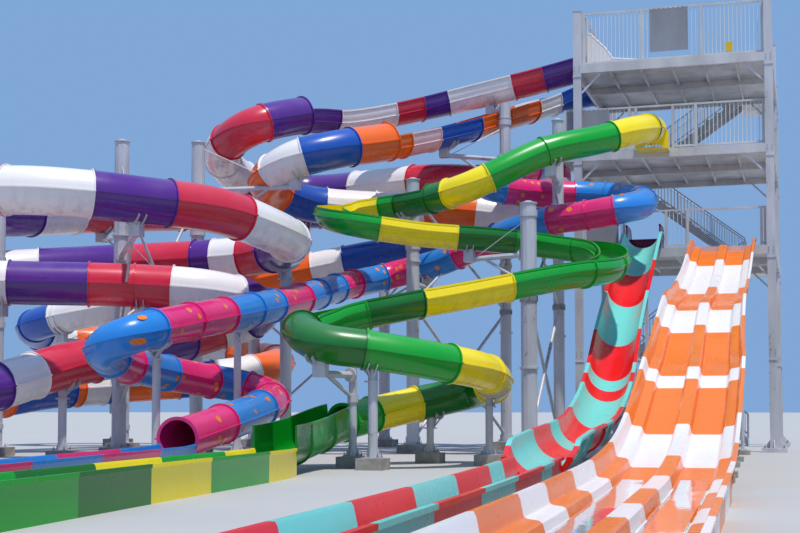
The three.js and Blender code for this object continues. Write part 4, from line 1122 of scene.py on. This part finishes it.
def build_stairs(steel):
    near = TOWER_DEPTH + COLUMN_SIZE / 2 + FLIGHT_PLAY
    far = near + FLIGHT_WIDTH + FLIGHT_PLAY
    left, right = LANDING_LENGTH, TOWER_WIDTH - LANDING_LENGTH
    back = TOWER_DEPTH + STAIR_DEPTH + COLUMN_SIZE / 2
    half, low, middle, top = (DECK_TOPS[level] for level in ("half", "low", "middle", "top"))
    stairs = {
        "lower": ((right, left, 0, half, far), (left, right, half, low, near)),
        "middle": ((right, left, low, middle, far),),
        "upper": ((left, right, middle, top, near),),
    }
    for name, flights in stairs.items():
        heap = Heap()
        for flight in flights:
            build_flight(heap, *flight)
        if name == "lower":
            # The half landing
            heap.box((0.16, near, half - 0.2), (left, back - 0.32, half))
        heap.piece(f"stair_{name}_steps", [steel], "deck_steel", (f"stair_{name}",))


def build_tower_fittings(materials):
    """Splice plates, corner braces, column caps and bolts on the tower's frame."""
    heap = Heap()
    rear = TOWER_DEPTH
    half = COLUMN_SIZE / 2
    columns = [(x, y, COLUMN_TOP) for x in (0, TOWER_WIDTH) for y in (0, rear)]
    columns += [(x, rear + STAIR_DEPTH, STAIR_COLUMN_TOP) for x in (0, TOWER_WIDTH)]
    gusset = [(half, COLUMN_BASE), (half + 0.22, COLUMN_BASE), (half, COLUMN_BASE + 0.3)]
    for x, y, top in columns:
        heap.block(x, y, half + 0.02, top, top + 0.02)
        for level in DECK_TOPS.values():
            low = level - FASCIA_DEPTH - 0.12
            heap.block(x, y, half + 0.025, low - 0.02, low)
            for bolt_x in (x - 0.09, x + 0.09):
                for drop in (0.1, 0.24):
                    heap.bolt((bolt_x, y - half - 0.012, level - drop), (0, -1, 0), 0.018)
        heap.foot(x, y, COLUMN_BASE, 0.34, 0.035, 0.014, 0.08, gusset)
    for level in ("low", "middle", "top"):
        high = DECK_TOPS[level] - FASCIA_DEPTH
        low = high - CORNER_BRACE
        for x, reach in ((half, CORNER_BRACE), (TOWER_WIDTH - half, -CORNER_BRACE)):
            for y in (0, rear):
                heap.bar((x, y, low), (x + reach, y, high), 0.05, 4)
        for y, reach in ((half, CORNER_BRACE), (rear - half, -CORNER_BRACE)):
            for x in (0, TOWER_WIDTH):
                heap.bar((x, y, low), (x, y + reach, high), 0.05, 4)
    heap.piece("tower_fittings", materials, "galvanised_steel")


# Supports: column place, top (0 where it ends under a saddle), radius, and the slides it carries by waypoint
SUPPORTS = {
    "left_front": ((-13.75, -10.9), 10.6, 0.24, "24 purple, 36.1 purple, 41 purple, 29.4 purple"),
    "left_rear": ((-13, -6.5), 11.35, 0.24, "29.7 purple, 6 blue"),
    "centre": ((-5.3, -4.7), 9.9, 0.24, "6.5 green, 14.3 pink"),
    "centre_right": ((-0.4, -7.95), 8.35, 0.27, "12.4 green, 11.6 green"),
    "upper_right": ((-0.1, -3.98), 11.9, 0.2, "3.9 green, 5.5 pink"),
    "upper_left": ((-3, 0.55), 13.1, 0.22, "3.2 blue, 1.4 purple, 12.2 blue"),
    "green_front": ((-2.5, -18.2), 0, 0.13, "23 green"),
    "green_turn": ((-3.4, -17.15), 0, 0.11, "22 green"),
    "green_right": ((-0.23, -14.6), 0, 0.11, "25.5 green"),
    "green_rear": ((-2.3, -13.3), 0, 0.11, "27.55 green"),
    "pink_front": ((-8.25, -19.1), 0, 0.11, "19.5 pink"),
    "pink_middle": ((-8, -14.3), 0, 0.11, "18.2 pink"),
    "purple_exit": ((-13.7, -14.6), 0, 0.13, "42 purple"),
    "purple_turn": ((-8.75, -8.45), 0, 0.2, "27.5 purple"),
    "far_left": ((-17.9, -11.8), 8.2, 0.24, "18.5 purple, 31.5 purple, 31 blue"),
    "far_front": ((-16.6, -16.2), 7.6, 0.24, "20.5 purple, 35 purple"),
    "far_loop": ((-20.5, 1.6), 5.6, 0.22, "19 blue, 22.4 blue"),
    "rear_left": ((-14.4, 2.25), 10, 0.24, "15.7 purple, 17.2 blue, 24.4 blue"),
    "left_side": ((-16.6, -5.3), 9, 0.24, "17 purple, 28 blue"),
    "rear": ((-8.9, 3.4), 10.2, 0.24, "15 purple, 10 purple, 15.6 blue"),
}
SLIDE_RADII = {"purple": RAFT_RADIUS, "blue": RAFT_RADIUS, "green": BODY_RADIUS, "pink": BODY_RADIUS}
# Saddles: half the angle they reach round a tube, their steps, plates and inner and outer edge
SADDLE_ANGLE = 48
SADDLE_STEPS = 10
SADDLE_PLATES = (-0.11, 0.11)
SADDLE_EDGES = (-0.01, 0.09)
SADDLE_STRUTS = (-0.2, 0.2)
ARM_DROP = 0.3
ARM_FLANGE_RADIUS = 0.19
# Braces and stays: their drop or rise, and how far along the arm they reach, as shares of its length
BRACE_DROP = 0.42
BRACE_REACH = 0.72
STAY_RISE = 0.5
STAY_REACH = 0.93
STAY_RADIUS = 0.016
HEAD_DISTANCE = 0.4
# A slimmer column than this has a footing and a plate of three quarters the size
SLIM_COLUMN = 0.15
FOOTING_HALF = 0.475
FOOTING_TOP = 0.3
FOOTING_SKIN = 0.004
PLATE_HALF = 0.3
PLATE_TOP = 0.33


def build_saddle(heap, slide_name, waypoint, below):
    """A cradle of two plates that fit round the underside of a slide, each on two struts."""
    route = ROUTES[slide_name]
    radius = SLIDE_RADII[slide_name]
    place, side, up, along = route.frame(route.length_at(waypoint))
    flat = np.array([side[0], side[1], 0]) / np.linalg.norm(side[:2])
    steps = SADDLE_STEPS
    spread = math.radians(SADDLE_ANGLE)
    row = 2 * (steps + 1)
    for offset in SADDLE_PLATES:
        centre = place + along * offset
        points = []
        for edge in SADDLE_EDGES:
            size = radius + edge
            for i in range(steps + 1):
                angle = -spread + 2 * spread * i / steps
                outwards = side * math.sin(angle) - up * math.cos(angle)
                points += [centre + along * thick + outwards * size for thick in (-0.012, 0.012)]
        faces = []
        for a in range(0, 2 * steps, 2):
            faces.append((a, a + 1, a + 3, a + 2))
            faces.append((row + a, row + a + 2, row + a + 3, row + a + 1))
            faces.append((a, a + 2, row + a + 2, row + a))
            faces.append((a + 1, row + a + 1, row + a + 3, a + 3))
        faces.append((0, row, row + 1, 1))
        faces.append((2 * steps, 2 * steps + 1, row + 2 * steps + 1, row + 2 * steps))
        heap.add(points, faces)
        foot = centre - up * radius
        for reach in SADDLE_STRUTS:
            heap.bar(foot + flat * reach, (place[0], place[1], below), 0.03, 4)


def build_arm(heap, x, y, radius, column_top, slide_name, waypoint):
    """A saddle, and the arm's flanges, brace and stay where it stands away from its column."""
    place = ROUTES[slide_name].place(waypoint)
    below = place[2] - SLIDE_RADII[slide_name] - ARM_DROP
    distance = math.hypot(place[0] - x, place[1] - y)
    build_saddle(heap, slide_name, waypoint, below)
    if distance < HEAD_DISTANCE:
        heap.collar(x, y, below, 0.02, radius + 0.09, 16)
        return
    direction = np.array([place[0] - x, place[1] - y, 0]) / distance
    root = np.array([x, y, below])
    for near, far in ((-0.02, 0.03), (0.03, 0.06)):
        heap.bar(root + direction * (radius + near), root + direction * (radius + far), ARM_FLANGE_RADIUS, 12)
    brace_foot = root - np.array([0, 0, max(0.6, distance * BRACE_DROP)])
    if brace_foot[2] > 0.8:
        brace_head = root + direction * distance * BRACE_REACH - np.array([0, 0, 0.06])
        heap.bar(brace_foot, brace_head, 0.05, 10)
        heap.collar(x, y, brace_foot[2], 0.1, radius + 0.035)
    stay_top = min(column_top - 0.12, below + distance * STAY_RISE)
    if stay_top > below + 0.5:
        heap.bar((x, y, stay_top), root + direction * distance * STAY_REACH, STAY_RADIUS, 6)


def build_support_fittings(name, materials):
    """A support's stone pad, base plate, bolts and gussets, its cap and bands, and its arms' fittings."""
    (x, y), top, radius, arms = SUPPORTS[name]
    scale = 1 if radius > SLIM_COLUMN else 0.75
    plate = PLATE_HALF * scale
    gusset = [(radius * 0.9, PLATE_TOP), (plate * 0.95, PLATE_TOP), (radius * 0.9, PLATE_TOP + 0.29)]
    heap = Heap()
    heap.block(x, y, FOOTING_HALF * scale + FOOTING_SKIN, 0, FOOTING_TOP + FOOTING_SKIN, STONE)
    heap.block(x, y, plate, FOOTING_TOP, PLATE_TOP)
    heap.foot(x, y, PLATE_TOP, 0.8 * plate, 0.03, 0.012, 0.09, gusset)
    _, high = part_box("support_" + name)
    if top:
        cap = top + 0.03
        heap.bar((x, y, top), (x, y, cap), radius + 0.03, 20)
        heap.bar((x, y, cap), (x, y, top + 0.1), radius * 0.9, 20, end_radius=radius * 0.3)
        for part in (0.35, 0.7):
            heap.collar(x, y, top * part, 0.03, radius + 0.05)
    for waypoint, slide_name in read_pairs(arms):
        build_arm(heap, x, y, radius, top or high[2] / MODEL, slide_name, waypoint)
    heap.piece(f"support_{name}_fittings", materials, "galvanised_steel")


# Bars between columns: foot and head as (support, height), and the bar's radius
BRACES = (
    ("centre_right", 0.5, "upper_right", 5.2, 0.06), ("upper_right", 0.5, "centre_right", 5.2, 0.06),
    ("centre_right", 5.2, "upper_right", 8.2, 0.05), ("upper_right", 5.2, "centre_right", 8, 0.05),
    ("centre", 0.5, "upper_left", 5.4, 0.06), ("upper_left", 0.5, "centre", 5.4, 0.06),
    ("centre", 5.4, "upper_left", 9.6, 0.05), ("upper_left", 5.4, "centre", 9.4, 0.05),
    ("left_front", 3, "left_rear", 9.4, 0.05), ("left_rear", 3, "left_front", 9, 0.05),
    ("upper_left", 8.6, "rear", 6.2, 0.05), ("rear", 0.8, "rear_left", 5.8, 0.05),
    ("rear_left", 0.8, "rear", 5.8, 0.05), ("far_left", 1, "far_front", 5.4, 0.05),
)


def build_braces(steel):
    """Bars that cross between neighbouring columns, with a clamp at each end."""
    heap = Heap()
    for low_name, low, high_name, high, radius in BRACES:
        ends = []
        for name, height in ((low_name, low), (high_name, high)):
            (x, y), _, column, _ = SUPPORTS[name]
            ends.append((x, y, height))
            heap.collar(x, y, height, 0.09, column + 0.03, 18)
        heap.bar(*ends, radius, 10)
    heap.piece("column_braces", [steel], "galvanised_steel")


# Surroundings


def build_camera():
    camera = add_object("camera", bpy.data.cameras.new("camera"))
    camera.location = [value * MODEL for value in CAMERA_PLACE]
    camera.rotation_euler = (math.radians(90 + CAMERA_PITCH_UP), 0, math.radians(CAMERA_TURN_LEFT))
    camera.data.sensor_width = CAMERA_SENSOR
    camera.data.lens = CAMERA_LENS
    camera.data.shift_y = CAMERA_SHIFT_UP
    camera.data.clip_end = 500
    bpy.context.scene.camera = camera


def build_studio():
    mesh = bpy.data.meshes.new("floor")
    low, high = -FLOOR_REACH, FLOOR_REACH
    mesh.from_pydata([(low, low, 0), (high, low, 0), (high, high, 0), (low, high, 0)], [], [(0, 1, 2, 3)])
    floor = add_object("floor", mesh)
    nodes = Nodes("studio_floor")
    cloud = nodes.noise(nodes.objects(), 0.4, 4)
    nodes.shade({"Base Color": nodes.mix(cloud, (0.5, 0.48, 0.46), (0.43, 0.42, 0.41)), "Roughness": 0.75})
    mesh.materials.append(nodes.material)

    sun = add_object("key_light", bpy.data.lights.new("key_light", "SUN"))
    sun.data.energy = SUN_STRENGTH
    sun.data.angle = math.radians(SUN_SOFTNESS)
    sun.data.color = (1, 0.96, 0.9)
    sun.rotation_euler = Vector(SUN_FROM).to_track_quat("Z", "Y").to_euler()

    world = bpy.data.worlds.new("studio")
    bpy.context.scene.world = world
    world.use_nodes = True
    sky = world.node_tree.nodes["Background"].inputs
    sky["Color"].default_value = (*linear(SKY_COLOUR), 1)
    sky["Strength"].default_value = SKY_STRENGTH
    bpy.context.scene.view_settings.view_transform = "Standard"


def paint_nodes(frame, steel, deck_steel):
    """Gives the tower's and the supports' own solids their paint."""
    for name, node in frame["nodes"].items():
        if name.startswith(("tower_column", "support", "red_slide_trestle", "orange_slide_trestle")):
            paint = steel
        elif name.startswith(("deck", "railing")):
            paint = deck_steel
        else:
            continue
        node.data.materials.clear()
        node.data.materials.append(paint)


def main():
    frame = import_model()
    build_camera()
    build_studio()

    coats = {name: gel_coat(name, rgb) for name, rgb in COLOURS.items()}
    lane_coats = {name: gel_coat(name + "_lane", rgb, 0.4) for name, rgb in COLOURS.items()}
    steel = painted_steel("column_steel", (206, 206, 212))
    deck_steel = painted_steel("deck_paint", (208, 207, 208), 0.66)
    bar_steel = painted_steel("railing_paint", (228, 229, 232), 0.72)
    panel_steel = painted_steel("panel_paint", (150, 152, 158), 0.74)
    fittings = [steel, painted_steel("bolt_steel", (120, 118, 116), 0.55), concrete()]

    for name in SLIDES:
        build_slide(name, coats, lane_coats)
    build_dots(coats)
    for name in TRESTLES:
        build_trestle(name, fittings)
    for name in ("purple", "blue"):
        build_raft_tub(name, coats["white"])
    build_body_tub("green", coats["yellow"])
    build_body_tub("pink", coats["pink"])
    build_red_tub(coats["maroon"])
    build_pools(water())
    build_braces(steel)
    build_railings(bar_steel, panel_steel, plain("warning_yellow", (236, 196, 20)))
    build_stairs(deck_steel)
    build_tower_fittings(fittings[:2])
    for name in SUPPORTS:
        build_support_fittings(name, fittings)

    paint_nodes(frame, steel, deck_steel)


main()
